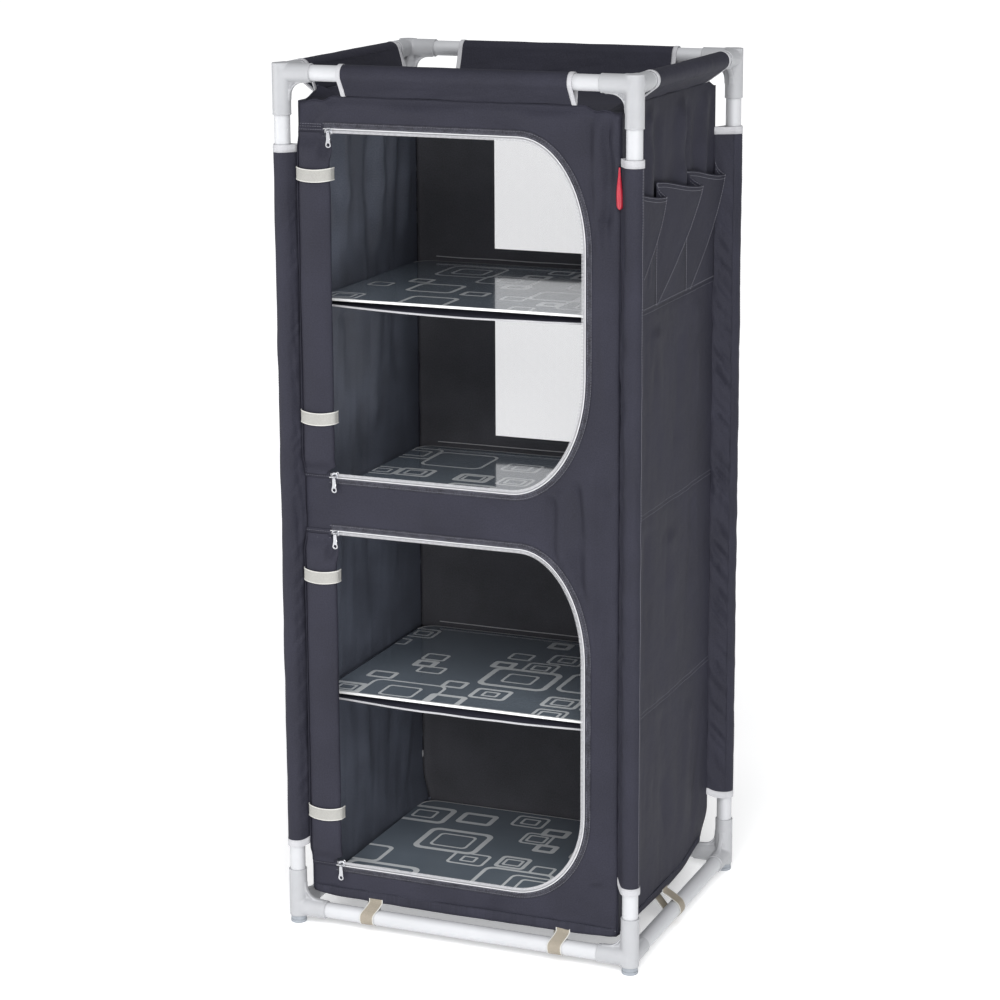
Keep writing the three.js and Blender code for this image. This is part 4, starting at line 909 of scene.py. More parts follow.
def backPlace(x, z):  # the outer face of the back cloth
    x, z = np.asarray(x, float), np.asarray(z, float)
    calm = smoothStep(0, 20, boxTop - z) * smoothStep(0, 20, z - boxBottom)
    calm = calm * smoothStep(0, 14, back["edge"] - np.abs(x))
    hem = smoothStep(130, 170, np.abs(x)) + smoothStep(725, 690, z)
    out = (1.3 * softNoise(x / 80, z / 140, 21) + 0.6 * softNoise(x / 26, z / 50, 22)) * calm * np.clip(hem, 0.25, 1)
    drawn = 12 * smoothStep(200, back["edge"], np.abs(x)) * smoothStep(120, 52, z)
    return np.stack([x - np.sign(x) * drawn, boxBack - 0.4 + np.clip(out, -1.8, 1.8) - 1.5 * (1 - calm), z], -1)


windowHoles = []
for low, high in windows:
    windowHoles.append(np.array([(-back["window"], low), (back["window"], low), (back["window"], high),
                                 (-back["window"], high)]))
backEdge = np.vstack([[(-back["edge"], 57), (back["edge"], 57)], topEdge])
flat, triangles = fillSheet(backEdge, windowHoles, back["pitch"])
data = sheetData("back_cloth", backPlace(flat[:, 0], flat[:, 1]), triangles, [oxford, innerCloth], flat, (0, 1, 0))
addSheet("back_cloth", data, (530, 1290), "stretched", nodes=["back_panel"], area=0.552, lined=True)


def backRow(path):  # a seam that follows the back cloth
    path = resampled(np.asarray(path, float), 6)
    return backPlace(path[:, 0], path[:, 1]), (0, 1, 0)


rows = []
for low, high in windows:
    for step in (3, 9):
        across = back["window"] + step
        rows.append(backRow([(-across, low - step), (across, low - step), (across, high + step),
                             (-across, high + step), (-across, low - step)]))
for half, height in [(258, seam - 4) for seam in seamHeights] + [(260, 1332), (260, 66)]:
    rows.append(backRow([(-half, height), (half, height)]))
stitchRows("back_stitches", rows)

# Polyester netting with a hole each 1.6 mm; its threads glow with painted light, which stands in for light shining
# through them from behind
netting, tree, shader = newMaterial("polyester netting", {
    "Base Color": linear("#d0d0d2"), "Roughness": 0.6,
    "Emission Color": linear("#f2f2f4"), "Emission Strength": 0.52})
flat = addNode(tree, "ShaderNodeAttribute", attribute_name="clothPlace").outputs["Vector"]
axes = addNode(tree, "ShaderNodeSeparateXYZ", {"Vector": flat})
holes = []
for axis in ("X", "Y"):
    turn = addNode(tree, "ShaderNodeMath", {0: axes.outputs[axis], 1: math.pi / 1.6}, operation="MULTIPLY")
    wave = addNode(tree, "ShaderNodeMath", {0: turn.outputs[0]}, operation="SINE")
    holes.append(addNode(tree, "ShaderNodeMath", {0: wave.outputs[0]}, operation="ABSOLUTE").outputs[0])
gaps = addNode(tree, "ShaderNodeMath", {0: holes[0], 1: holes[1]}, operation="MULTIPLY")
solid = addNode(tree, "ShaderNodeMapRange", {
    "Value": gaps.outputs[0], "From Min": 0.2, "From Max": 0.42, "To Min": 0.95, "To Max": 0.5})
bump = addNode(tree, "ShaderNodeBump", {"Height": solid.outputs["Result"], "Strength": 0.4, "Distance": 0.0003})
tree.links.new(solid.outputs["Result"], shader.inputs["Alpha"])
tree.links.new(bump.outputs["Normal"], shader.inputs["Normal"])

meshX = back["window"] + back["meshHem"]
meshLow, meshHigh = windows[0][0] - back["meshHem"], windows[1][1] + back["meshHem"]
u, v = np.meshgrid(np.linspace(-meshX, meshX, 46), np.linspace(meshLow, meshHigh, 104))
slack = 0.5 * softNoise(u / 70, v / 90, 23) * smoothStep(0, 12, meshX - np.abs(u))
points = np.stack([u, boxBack + 0.7 + slack, v], -1).reshape(-1, 3)
flat = np.stack([u.ravel(), v.ravel()], 1)
data = sheetData("window_net", points, gridFaces(45, 103), [netting], flat, (0, 1, 0))
net = addPiece("window_net", data, nodes=["mesh_window"])

# Top cloth, sagging a little between the walls
topSheet = {"halfX": 263.0, "halfY": 221.5, "sag": 7.0, "seam": 60.0}
u, v = np.meshgrid(np.linspace(-topSheet["halfX"], topSheet["halfX"], 132),
                   np.linspace(boxMiddle - topSheet["halfY"], boxMiddle + topSheet["halfY"], 111))
# how far each point is from the side edges, and from the front or back edge
toSide, toFront = topSheet["halfX"] - np.abs(u), topSheet["halfY"] - np.abs(v - boxMiddle)
fade = smoothStep(0, topSheet["seam"], toSide) * smoothStep(0, topSheet["seam"], toFront)
pulls = 1.5 * np.sin(toFront / 4.5 + 0.03 * toSide) * smoothStep(190, 215, np.abs(u)) * np.exp(-(toFront / 30) ** 2)
z = (boxTop - 1.2 - fade * (topSheet["sag"] + 2.0 * softNoise(u / 70, v / 60, 24)) + pulls * smoothStep(0, 6, toFront)
     + seamRise(u) * smoothStep(topSheet["seam"], 0, toFront) + edgeRise(v) * smoothStep(topSheet["seam"], 0, toSide))
gridSheet("top_cloth", np.stack([u, v, z], -1), (u, v), [oxford, lining], (0, 0, 1), (528, 445), "stretched",
          nodes=["top_panel"], lined=True)

# Floor cloth: a flat sheet whose edge is rolled down and sewn up to the walls' lower seam
floorEdge = {"sheet": 59.2, "corner": 14.0, "pitch": 5.0,
             "frontX": [-264, -227, -107, 32, 200, 264], "frontLow": [55, 51, 49.5, 49, 50, 54],
             "sideY": [-228, -130, 4, 60, 216], "sideLow": [55, 56, 50, 52, 56], "backLow": 53}


def roundedSquare(x, y, halfX, halfY, radius):
    points = []
    for signX, signY, start in ((1, 1, 0), (-1, 1, 90), (-1, -1, 180), (1, -1, 270)):
        for step in range(7):
            angle = math.radians(start + 15 * step)
            points.append((x + signX * (halfX - radius) + radius * math.cos(angle),
                           y + signY * (halfY - radius) + radius * math.sin(angle)))
    return np.array(points)


ring = roundedSquare(0, boxMiddle, boxX, (boxBack - boxFront) / 2, floorEdge["corner"])
ring = resampled(ring, floorEdge["pitch"], closed=True)
drawnIn = 12 * smoothStep(60, 216, ring[:, 1]) * smoothStep(200, 262, np.abs(ring[:, 0]))
ring[:, 0] -= np.sign(ring[:, 0]) * drawnIn
way = unit(np.roll(ring, -1, axis=0) - np.roll(ring, 1, axis=0))
outWay = np.stack([way[:, 1], -way[:, 0]], 1)
run = np.arange(len(ring)) * floorEdge["pitch"]
lowEdge = np.where(np.abs(ring[:, 1] - boxFront) < 4,
                   np.interp(ring[:, 0], floorEdge["frontX"], floorEdge["frontLow"]), floorEdge["backLow"])
lowEdge = np.where((np.abs(ring[:, 0]) > 240) & (ring[:, 1] > -225),
                   np.interp(ring[:, 1], floorEdge["sideY"], floorEdge["sideLow"]), lowEdge)
ripple = 1.2 * softNoise(run / 34, 0 * run, 26) + 0.6 * softNoise(run / 11, 0 * run, 27)
# the roll's section: how far out and how high each ring lies
section = [(-34, 0), (-24, -0.4), (-15, -2.5), (-8, -6), (-3.5, -8.6), (-0.6, -8.8), (0.6, -7.2), (1.2, -4),
           (1.4, 0), (1.3, 3.5), (0.9, 6.4)]
rings = []
for out, rise in section:
    share = min(max((out + 24) / 22, 0), 1)
    z = floorEdge["sheet"] + rise * np.where(rise < 0, (floorEdge["sheet"] - lowEdge) / 8.8, 1) + ripple * share * 0.5
    reach = out + ripple * share * 0.35
    rings.append(np.column_stack([ring + outWay * reach[:, None], z]))
allPoints = np.vstack(rings + [[[0, boxMiddle, floorEdge["sheet"]]]])  # the last is the middle of the sheet
fan = [(i, (i + 1) % len(ring), len(allPoints) - 1) for i in range(len(ring))]
faces = fan + gridFaces(len(ring), len(section) - 1, loop=True)
data = sheetData("floor_cloth", allPoints, faces, [lining, oxford], allPoints[:, :2], (0, 0, 1))
addSheet("floor_cloth", data, (560, 475), "stretched", nodes=["floor_panel"], lined=True)
print("back, top and floor cloth made")

# Side pockets: three bellows, each open at its mouth and creased down to the bottom seam
pocket = {"start": -222.0, "pitch": 143.0, "bottom": 1030.0, "mouth": 1221.0, "drop": 22.0,
          "bulges": (15.0, 26.0, 16.0), "creases": (0.12, 0.03, 0.14), "lean": 9.0, "hems": (0.988, 0.958)}
wall = boxX + 1.2


def pocketPlace(i, u, v):  # u runs 0 to 1 over the front face and 1 to 2 over the gusset
    begin = pocket["start"] + i * pocket["pitch"]
    end, bulge, crease = begin + pocket["pitch"], pocket["bulges"][i], pocket["creases"][i]
    creaseLow = begin + pocket["pitch"] * crease  # the crease runs up from here and leans past the pocket's end
    creaseY = creaseLow + (end + pocket["lean"] - creaseLow) * (1 - (1 - v) ** 1.7)
    creaseX = wall + 0.6 + (bulge - 1.5) * v ** 1.25
    faceU, foldU = np.clip(u, 0, 1), np.clip(u - 1, 0, 1)
    belly = 2.2 * np.sin(np.pi * faceU) * v * (1 - 0.4 * v)
    faceX = wall + 0.4 + (creaseX - wall - 0.4) * faceU ** 1.35 + belly
    faceY = begin + (creaseY - begin) * faceU
    faceTop = pocket["mouth"] - pocket["drop"] * smoothStep(0, 1, faceU) ** 0.9
    foldX = creaseX + (wall - creaseX) * foldU - 2.6 * np.sin(np.pi * foldU) * v
    foldY = creaseY + (end - creaseY) * foldU - 3.5 * np.sin(np.pi * foldU) * v
    foldTop = pocket["mouth"] - pocket["drop"] * (1 - foldU)
    onFold = u > 1
    x, y = np.where(onFold, foldX, faceX), np.where(onFold, foldY, faceY)
    top = np.where(onFold, foldTop, faceTop)
    x = x + 0.5 * softNoise(u * 4 + i, v * 5, 81 + i) * np.sin(np.pi * np.clip(v, 0, 1)) + 0.25
    return np.stack([np.maximum(x, wall), y, pocket["bottom"] + (top - pocket["bottom"]) * v], -1)


hemRows = []
for i in range(3):
    u, v = np.meshgrid(np.concatenate([np.linspace(0, 1, 26), np.linspace(1, 2, 15)[1:]]), np.linspace(0, 1, 44))
    gridSheet(f"pocket_{i + 1}", pocketPlace(i, u, v), (u * pocket["pitch"], v * 190), [oxford], (1, 0, 0),
              (160, 188), "stretched", sharp=70, nodes=["side_pockets"], thickness=1.0, offset=0.0)
    across, upright = np.linspace(0, 2, 60), np.linspace(0, 1, 30)
    for level in pocket["hems"]:
        hemRows.append((pocketPlace(i, across, 0 * across + level) + (0.5, 0, 0), (1, 0, 0)))
    for place in (0.02, 0.995):
        hemRows.append((pocketPlace(i, 0 * upright + place, upright) + (0.5, 0, 0), (1, 0, 0)))
height = pocket["bottom"] + 3
path = resampled([(pocket["start"], height), (pocket["start"] + 3 * pocket["pitch"], height)], 6)
hemRows.append((np.column_stack([np.full(len(path), wall + 1.0), path]), (1, 0, 0)))
stitchRows("pocket_stitches", hemRows, lift=0.25, radius=0.5)
print("pockets made")

# Nylon coil zip: half a chain round each opening on a woven tape
coilNylon, tree, shader = newMaterial("nylon coil", {"Base Color": linear("#c8c8cb"), "Roughness": 0.38, "IOR": 1.53})
place = addNode(tree, "ShaderNodeTexCoord").outputs["Object"]
scuffs = addNode(tree, "ShaderNodeTexNoise", {"Vector": place, "Scale": 220.0, "Detail": 3.0})
tone = addNode(tree, "ShaderNodeMix", {
    "Factor": scuffs.outputs["Fac"], "A": linear("#bdbdc0"), "B": linear("#d0d0d3")}, data_type="RGBA")
tree.links.new(tone.outputs[2], shader.inputs["Base Color"])
coil = {"pitch": 2.0, "tooth": 1.25, "start": 1.5, "reach": 4.6, "thick": 1.35, "middle": -229.75, "cord": 0.9,
        "tapeOuts": (-9.0, -4.0, -0.5, 1.0, 3.2), "tapeY": (-227.9, -227.9, -228.4, -229.0, -229.0)}
toothAngles = np.arange(8) * math.pi / 4
toothLevels = [(0.0, 0.55), (0.18, 0.95), (0.7, 1.0), (0.9, 0.85), (1.0, 0.35)]  # share of its reach, and size
for spanName, span in openings.items():
    path = resampled(openingEdge(span, 0.3), coil["pitch"])
    way = unit(np.gradient(path, axis=0))
    inward = np.stack([way[:, 1], -way[:, 0]], 1)
    centre = np.array([20.0, (span["low"] + span["high"]) / 2])
    inward *= np.sign(((centre - path) * inward).sum(1))[:, None]
    allPoints, allFaces = [], []
    faces = gridFaces(8, 4, loop=True) + [tuple(range(7, -1, -1)), tuple(range(32, 40))]
    for (x, z), (wayX, wayZ), (inX, inZ) in zip(path[1:-1], way[1:-1], inward[1:-1]):
        first = len(allPoints)
        for share, size in toothLevels:
            reach = coil["start"] + share * coil["reach"]
            for angle in toothAngles:
                a = math.cos(angle) * coil["tooth"] / 2 * size
                b = math.sin(angle) * coil["thick"] * size
                allPoints.append((x + inX * reach + wayX * a, coil["middle"] + b, z + inZ * reach + wayZ * a))
        allFaces += [tuple(first + i for i in face) for face in faces]
    # the cord that the teeth are sewn to, along the cloth's edge
    first = len(allPoints)
    for (x, z), (inX, inZ) in zip(path, inward):
        for angle in toothAngles:
            a, b = coil["cord"] * math.cos(angle) - 0.6, coil["cord"] * math.sin(angle)
            allPoints.append((x + inX * a, coil["middle"] - 1.3 + b, z + inZ * a))
    allFaces += turned(allPoints, [tuple(first + i for i in face) for face in gridFaces(8, len(path) - 1, loop=True)])
    data = meshFrom(f"zip_coil_{spanName}", allPoints, turned(allPoints, allFaces), [coilNylon], sharp=50)
    addPiece(f"zip_coil_{spanName}", data, nodes=[f"zip_chain_{spanName}"])
    outs = np.array(coil["tapeOuts"])
    tapeGrid = path[:, None, :] + inward[:, None, :] * outs[None, :, None]
    tapeGrid = np.stack([tapeGrid[..., 0], np.broadcast_to(coil["tapeY"], tapeGrid.shape[:2]), tapeGrid[..., 1]], -1)
    gridSheet(f"zip_tape_{spanName}", tapeGrid, (np.arange(len(path))[:, None] * coil["pitch"], outs), [grosgrain],
              (0, -1, 0), (len(path) * coil["pitch"], 12.2), "stretched", thickness=0.5, slot="zip")
print("zips made")

# Sliders and pulls of plated zinc, die cast: bright, with soft edges
zinc, tree, shader = newMaterial("plated zinc", {"Base Color": linear("#c9cace"), "Metallic": 1.0, "Roughness": 0.24})
place = addNode(tree, "ShaderNodeTexCoord").outputs["Object"]
cast = addNode(tree, "ShaderNodeTexNoise", {"Vector": place, "Scale": 500.0, "Detail": 3.0})
rough = addNode(tree, "ShaderNodeMapRange", {"Value": cast.outputs["Fac"], "To Min": 0.16, "To Max": 0.34})
bump = addNode(tree, "ShaderNodeBump", {"Height": cast.outputs["Fac"], "Strength": 0.1, "Distance": 0.0002})
tree.links.new(rough.outputs["Result"], shader.inputs["Roughness"])
tree.links.new(bump.outputs["Normal"], shader.inputs["Normal"])
slider = {"x": -211.0, "length": 13.0, "plate": 1.3, "gap": 3.8, "below": 6.4, "above": 4.3, "edge": 0.45,
          "pinY": -235.25, "lug": 3.4, "pull": 26.5, "pullWidth": 9.4, "pullThick": 1.2, "hole": 2.5}


def plateBlock(outline, low, high, lift):
    # an outline in (x, z) given a thickness from low to high along Y, with softened rims
    outline = np.asarray(outline, float)
    count = len(outline)
    edge = slider["edge"]
    shrunk = outline - unit(outline - outline.mean(0)) * edge
    levels = [(shrunk, low), (outline, low + edge), (outline, high - edge), (shrunk, high)]
    points = [(p[0], y, p[1]) for loop, y in levels for p in loop]
    faces = gridFaces(count, 3, loop=True) + [tuple(range(count - 1, -1, -1)), tuple(range(3 * count, 4 * count))]
    return [tuple(np.add(p, lift)) for p in points], faces


def joinBlocks(blocks):
    points, faces = [], []
    for blockPoints, blockFaces in blocks:
        blockFaces = turned(blockPoints, blockFaces)
        faces += [tuple(len(points) + i for i in face) for face in blockFaces]
        points += list(blockPoints)
    return points, faces


for spanName, span in openings.items():
    for endName, z, mouth in (("top", span["high"] - 2.3, 1), ("bottom", span["low"] + 2.3, -1)):
        half = slider["length"] / 2
        low, high = -slider["below"] * mouth, slider["above"] * mouth
        outline = [(half * math.cos(a) * (1 if math.sin(a) * mouth > 0 else 0.82),
                    (high if math.sin(a) * mouth > 0 else low) * abs(math.sin(a)) ** 0.6)
                   for a in np.linspace(0, 2 * math.pi, 25)[:-1]]
        outer = slider["gap"] / 2
        at = (slider["x"], coil["middle"], z)
        blocks = [plateBlock(outline, -outer - slider["plate"], -outer, at),
                  plateBlock(outline, outer, outer + slider["plate"], at)]
        post = [(a, low * b) for a, b in ((-1.6, 0.95), (1.6, 0.95), (1.6, 0.55), (-1.6, 0.55))]
        blocks.append(plateBlock(post, -outer - 0.3, outer + 0.3, at))
        for sign in (-1, 1):
            lug = [(sign * slider["lug"] + 0.75 * math.cos(a), 1.9 * math.sin(a))
                   for a in np.linspace(0, 2 * math.pi, 13)[:-1]]
            blocks.append(plateBlock(lug, -outer - slider["plate"] - 3.4, -outer - slider["plate"] + 0.4, at))
        pinPoints, pinFaces = lathe([(0.05, -3.9), (0.8, -3.8), (0.8, 3.8), (0.05, 3.9)],
                                    (slider["x"], slider["pinY"], z), (1, 0, 0), 16)
        blocks.append(([tuple(p) for p in pinPoints], pinFaces))
        points, faces = joinBlocks(blocks)
        name = f"{spanName}_{endName}"
        data = meshFrom(f"slider_{name}_cast", points, faces, [zinc], sharp=38)
        addPiece(f"slider_{name}_cast", data, body=f"slider_{name}", nodes=[f"zip_slider_{name}"])
        # the pull hangs from the pin: an eye, a neck and a tab with a round hole
        length, width, thick = slider["pull"], slider["pullWidth"] / 2, slider["pullThick"] / 2
        outer = [(width * math.cos(a), -length + width - width * math.sin(a)) for a in np.linspace(0, math.pi, 13)]
        outer += [(-3.3, -length + 11), (-2.9, -5.5), (-2.2, -2.5), (2.2, -2.5), (2.9, -5.5), (3.3, -length + 11)]
        outer = resampled(np.array(outer), 1.1, closed=True)
        count = len(outer)
        holeZ = -length + width
        toHole = np.arctan2(outer[:, 1] - holeZ, outer[:, 0])
        hole = np.stack([slider["hole"] * np.cos(toHole), holeZ + slider["hole"] * np.sin(toHole)], 1)
        shrink = outer - unit(outer - (0, -length / 2)) * 0.35
        grownHole = hole + (hole - (0, holeZ)) / slider["hole"] * 0.3
        flank = thick - 0.3  # where the softened rims begin
        loops = [(outer, -flank), (shrink, -thick), (grownHole, -thick), (hole, -flank), (hole, flank),
                 (grownHole, thick), (shrink, thick), (outer, flank), (outer, -flank)]
        points = [(p[0] + slider["x"], slider["pinY"] + y, z + p[1]) for loop, y in loops for p in loop]
        blocks = [(points, gridFaces(count, 8, loop=True))]
        eye = [(2.3, -2.2), (2.3, 2.2), (1.25, 2.2), (1.25, -2.2), (2.3, -2.2)]
        eyePoints, eyeFaces = lathe(eye, (slider["x"], slider["pinY"], z), (1, 0, 0), 24)
        blocks.append(([tuple(p) for p in eyePoints], eyeFaces))
        points, faces = joinBlocks(blocks)
        data = meshFrom(f"pull_{name}_cast", points, faces, [zinc], sharp=38)
        addPiece(f"pull_{name}_cast", data, body=f"pull_{name}", nodes=[f"zip_pull_{name}"])
print("sliders and pulls made")

# Rolled doors: one long spiral of cloth, pressed flat where each end goes under a band of the front panel
roll = {"left": -262.0, "halfWidth": 28.5, "halfDepth": 9.4, "turns": 3.5, "stepWidth": 3.6, "stepDepth": 2.2,
        "endGap": 5.0, "points": 176, "pitch": 7.0, "pressed": 3.2, "pressFrom": -227.0, "pressTo": -217.5,
        "band": 13.0, "bandStart": -263.2, "bandEnd": -219.0}
bandRows = []


def rollSection(shareWidth, shareDepth, press, z, seed):
    t = np.linspace(0, 1, roll["points"])
    angle = math.pi - 2 * math.pi * roll["turns"] * (1 - t)
    inward = roll["turns"] * (1 - t)
    wide = (roll["halfWidth"] - inward * roll["stepWidth"]) * shareWidth
    deep = (roll["halfDepth"] - inward * roll["stepDepth"]) * shareDepth
    streak = 0.55 * softNoise(t * 21, z / 130, seed) + 0.3 * softNoise(t * 55, z / 70, seed + 1)
    wide, deep = wide + streak * shareDepth, deep + streak * shareDepth
    wallY = boxFront - 0.5
    middleX = roll["left"] + roll["halfWidth"] * shareWidth
    middleY = wallY - roll["halfDepth"] * shareDepth
    flatTurn = np.sign(np.sin(angle)) * np.abs(np.sin(angle)) ** 0.85
    x, y = middleX + wide * np.cos(angle), middleY + deep * flatTurn
    # the right edge lies flat where a pull hangs over it
    flatness = press * smoothStep(roll["pressFrom"], roll["pressTo"], x)
    share = 1 + (roll["pressed"] / (2 * roll["halfDepth"]) - 1) * flatness
    return np.stack([x, wallY + (y - wallY) * share, np.full(len(t), z)], 1)


for number, (spanName, span) in enumerate(openings.items()):
    low, high = span["low"] + roll["endGap"], span["high"] - roll["endGap"]
    stations = resampled(np.array([[low, 0], [high, 0]]), roll["pitch"])[:, 0]
    stations = np.unique(np.concatenate([stations, low + np.array([1, 3]), high - np.array([1, 3])]))
    rings = []
    for z in stations:
        shareWidth = 1 - 0.3 * float(smoothStep(12, 4, high - z)) - 0.3 * float(smoothStep(12, 4, z - low))
        shareDepth = 1 - 0.66 * float(smoothStep(26, 5, high - z)) - 0.66 * float(smoothStep(26, 5, z - low))
        press = float(smoothStep(44, 30, high - z))
        for tie in span["ties"]:
            shareDepth -= 0.07 * math.exp(-((z - tie) / 16) ** 2)
            shareWidth -= 0.03 * math.exp(-((z - tie) / 16) ** 2)
        rings.append(rollSection(shareWidth, shareDepth, press, float(z), 90 + 5 * number))
    points = np.vstack(rings)
    count = roll["points"]
    faces = gridFaces(count - 1, len(stations) - 1)
    run = runAlong(rings[len(rings) // 2])
    flat = np.stack([np.tile(run, len(stations)), np.repeat(stations, count)], 1)
    data = meshFrom(f"rolled_door_{spanName}", points, faces, [oxford, lining], place=flat, sharp=70)
    addSheet(f"rolled_door_{spanName}", data, (430, high - low), "folded", nodes=[f"door_roll_{spanName}"],
             thickness=0.9, offset=0.0)
    # the bands that the roll's ends are tucked under
    for endName, edgeZ, way in (("top", span["high"], -1), ("bottom", span["low"], 1)):
        u, v = np.meshgrid(np.linspace(0, 1, 25), np.linspace(0, 1, 11))
        x = roll["bandStart"] + (roll["bandEnd"] - roll["bandStart"]) * u
        out = (0.9 + 5.6 * np.sin(np.pi * np.clip(u * 1.04, 0, 1)) ** 0.7 * v ** 1.3 + 0.8 * v
               + 0.5 * softNoise(u * 7, v * 2, 98 + number) * v)
        band = np.stack([x, boxFront - out, edgeZ + way * (-2.5 + (roll["band"] + 2.5) * v)], -1)
        gridSheet(f"door_band_{spanName}_{endName}", band, (u * 46, v * 17), [oxford], (0, -1, 0), (44, 17),
                  "stretched", thickness=0.9)
        for at in (2.5, 8.6):  # rows of stitches, between two rows of points
            below = int(at)
            bandRows.append((band[below] + (band[below + 1] - band[below]) * (at - below), (0, -1, 0)))
    print("roll", spanName, round(float(run[-1])), "mm of cloth")
stitchRows("band_stitches", bandRows, lift=0.3)

# Ties: tape round the front of each roll, dipping in the middle
tie = {"height": 20.0, "dip": 3.0}
for spanName, span in openings.items():
    for endName, z in zip(("top", "bottom"), span["ties"]):
        angles = np.linspace(math.pi, 2 * math.pi, 41)
        middleX, middleY = roll["left"] + roll["halfWidth"], boxFront - 0.3 - roll["halfDepth"]
        a, b = roll["halfWidth"] + 0.9, roll["halfDepth"] + 0.7
        path = [(middleX + a * math.cos(t), middleY + b * math.sin(t)) for t in angles]
        path = [(middleX - a - 0.4, boxFront - 0.2), *path, (middleX + a + 0.4, boxFront - 0.2)]
        path = resampled(np.array(path), 1.6)
        v = np.linspace(-0.5, 0.5, 15)
        share = (path[:, 0] - middleX) / a
        dip = tie["dip"] * (1 - share ** 2)
        edge = 0.35 * (np.abs(v) > 0.42)
        way = unit(np.gradient(path, axis=0))
        out = np.stack([way[:, 1], -way[:, 0]], 1)
        out *= np.sign((out * (path - (middleX, middleY))).sum(1))[:, None]
        height = z + tie["height"] * v[:, None] - dip[None, :]
        x = path[None, :, 0] + out[None, :, 0] * edge[:, None]
        y = path[None, :, 1] + out[None, :, 1] * edge[:, None]
        stripSheet(f"tie_{spanName}_{endName}", np.stack([x, y, height], -1), runAlong(path), tie["height"], tape,
                   (91, 20), nodes=[f"door_tie_{spanName}_{endName}"], thickness=0.9,
                   rests=[f"rolled_door_{spanName}"])
print("rolled doors and ties made")

# Shelf boards of coated hardboard: a slate laminate printed with outlines of rounded squares
def laminateMaterial(name, dark, light):
    material, tree, shader = newMaterial(name, {
        "Base Color": linear(light), "Roughness": 0.13, "IOR": 1.55, "Coat Weight": 1.0, "Coat Roughness": 0.07,
        "Coat IOR": 1.6})
    place = addNode(tree, "ShaderNodeTexCoord").outputs["Object"]
    clouds = addNode(tree, "ShaderNodeTexNoise", {"Vector": place, "Scale": 9.0, "Detail": 4.0})
    tone = addNode(tree, "ShaderNodeMix", {
        "Factor": clouds.outputs["Fac"], "A": linear(dark), "B": linear(light)}, data_type="RGBA")
    ripple = addNode(tree, "ShaderNodeTexNoise", {"Vector": place, "Scale": 22.0, "Detail": 2.0})
    bump = addNode(tree, "ShaderNodeBump", {"Height": ripple.outputs["Fac"], "Strength": 0.15, "Distance": 0.002})
    fine = addNode(tree, "ShaderNodeTexNoise", {"Vector": place, "Scale": 420.0})  # orange peel of 2.4 mm
    peel = addNode(tree, "ShaderNodeBump", {
        "Height": fine.outputs["Fac"], "Normal": bump.outputs["Normal"], "Strength": 0.12, "Distance": 0.0003})
    tree.links.new(tone.outputs[2], shader.inputs["Base Color"])
    tree.links.new(peel.outputs["Normal"], shader.inputs["Normal"])
    return material


slate = laminateMaterial("melamine laminate", "#66707a", "#78828c")
printedLaminate = laminateMaterial("printed laminate", "#dfe3e6", "#eef1f2")
edging = laminateMaterial("PVC edging", "#e3e4e5", "#efefef")
board = {"half": 256.0, "front": -190.5, "back": 207.0, "corner": 28.0, "thick": 4.0, "edge": 0.5, "trim": 4.2,
         "squares": 24}


def printRings(seed):
    # outlines of squares scattered over the board, some with a smaller one inside
    draw = np.random.default_rng(seed)
    rings, placed = [], []
    while len(placed) < board["squares"]:
        half = draw.choice([18.0, 26.0, 38.0, 50.0], p=[0.25, 0.3, 0.25, 0.2])
        x = draw.uniform(-board["half"], board["half"])
        y = draw.uniform(board["front"], board["back"] - half - 9)
        if any(max(abs(x - a) / 1.25, abs(y - b)) < (half + c) * 0.8 for a, b, c in placed):
            if draw.uniform() < 0.97:
                continue
        placed.append((x, y, half))
        wide = half * draw.uniform(1.0, 1.35)
        line = draw.choice([5.0, 7.0, 9.5])
        rings.append((roundedSquare(x, y, wide, half, half * 0.34),
                      roundedSquare(x, y, wide - line, half - line, max(half * 0.34 - line * 0.7, 1.5))))
        if half > 18 and draw.uniform() < 0.55:
            small = half * draw.uniform(0.45, 0.62)
            rings.append((roundedSquare(x, y, small * 1.15, small, small * 0.3),
                          roundedSquare(x, y, small * 1.15 - 4.5, small - 4.5, max(small * 0.3 - 2.0, 1.0))))
    return rings


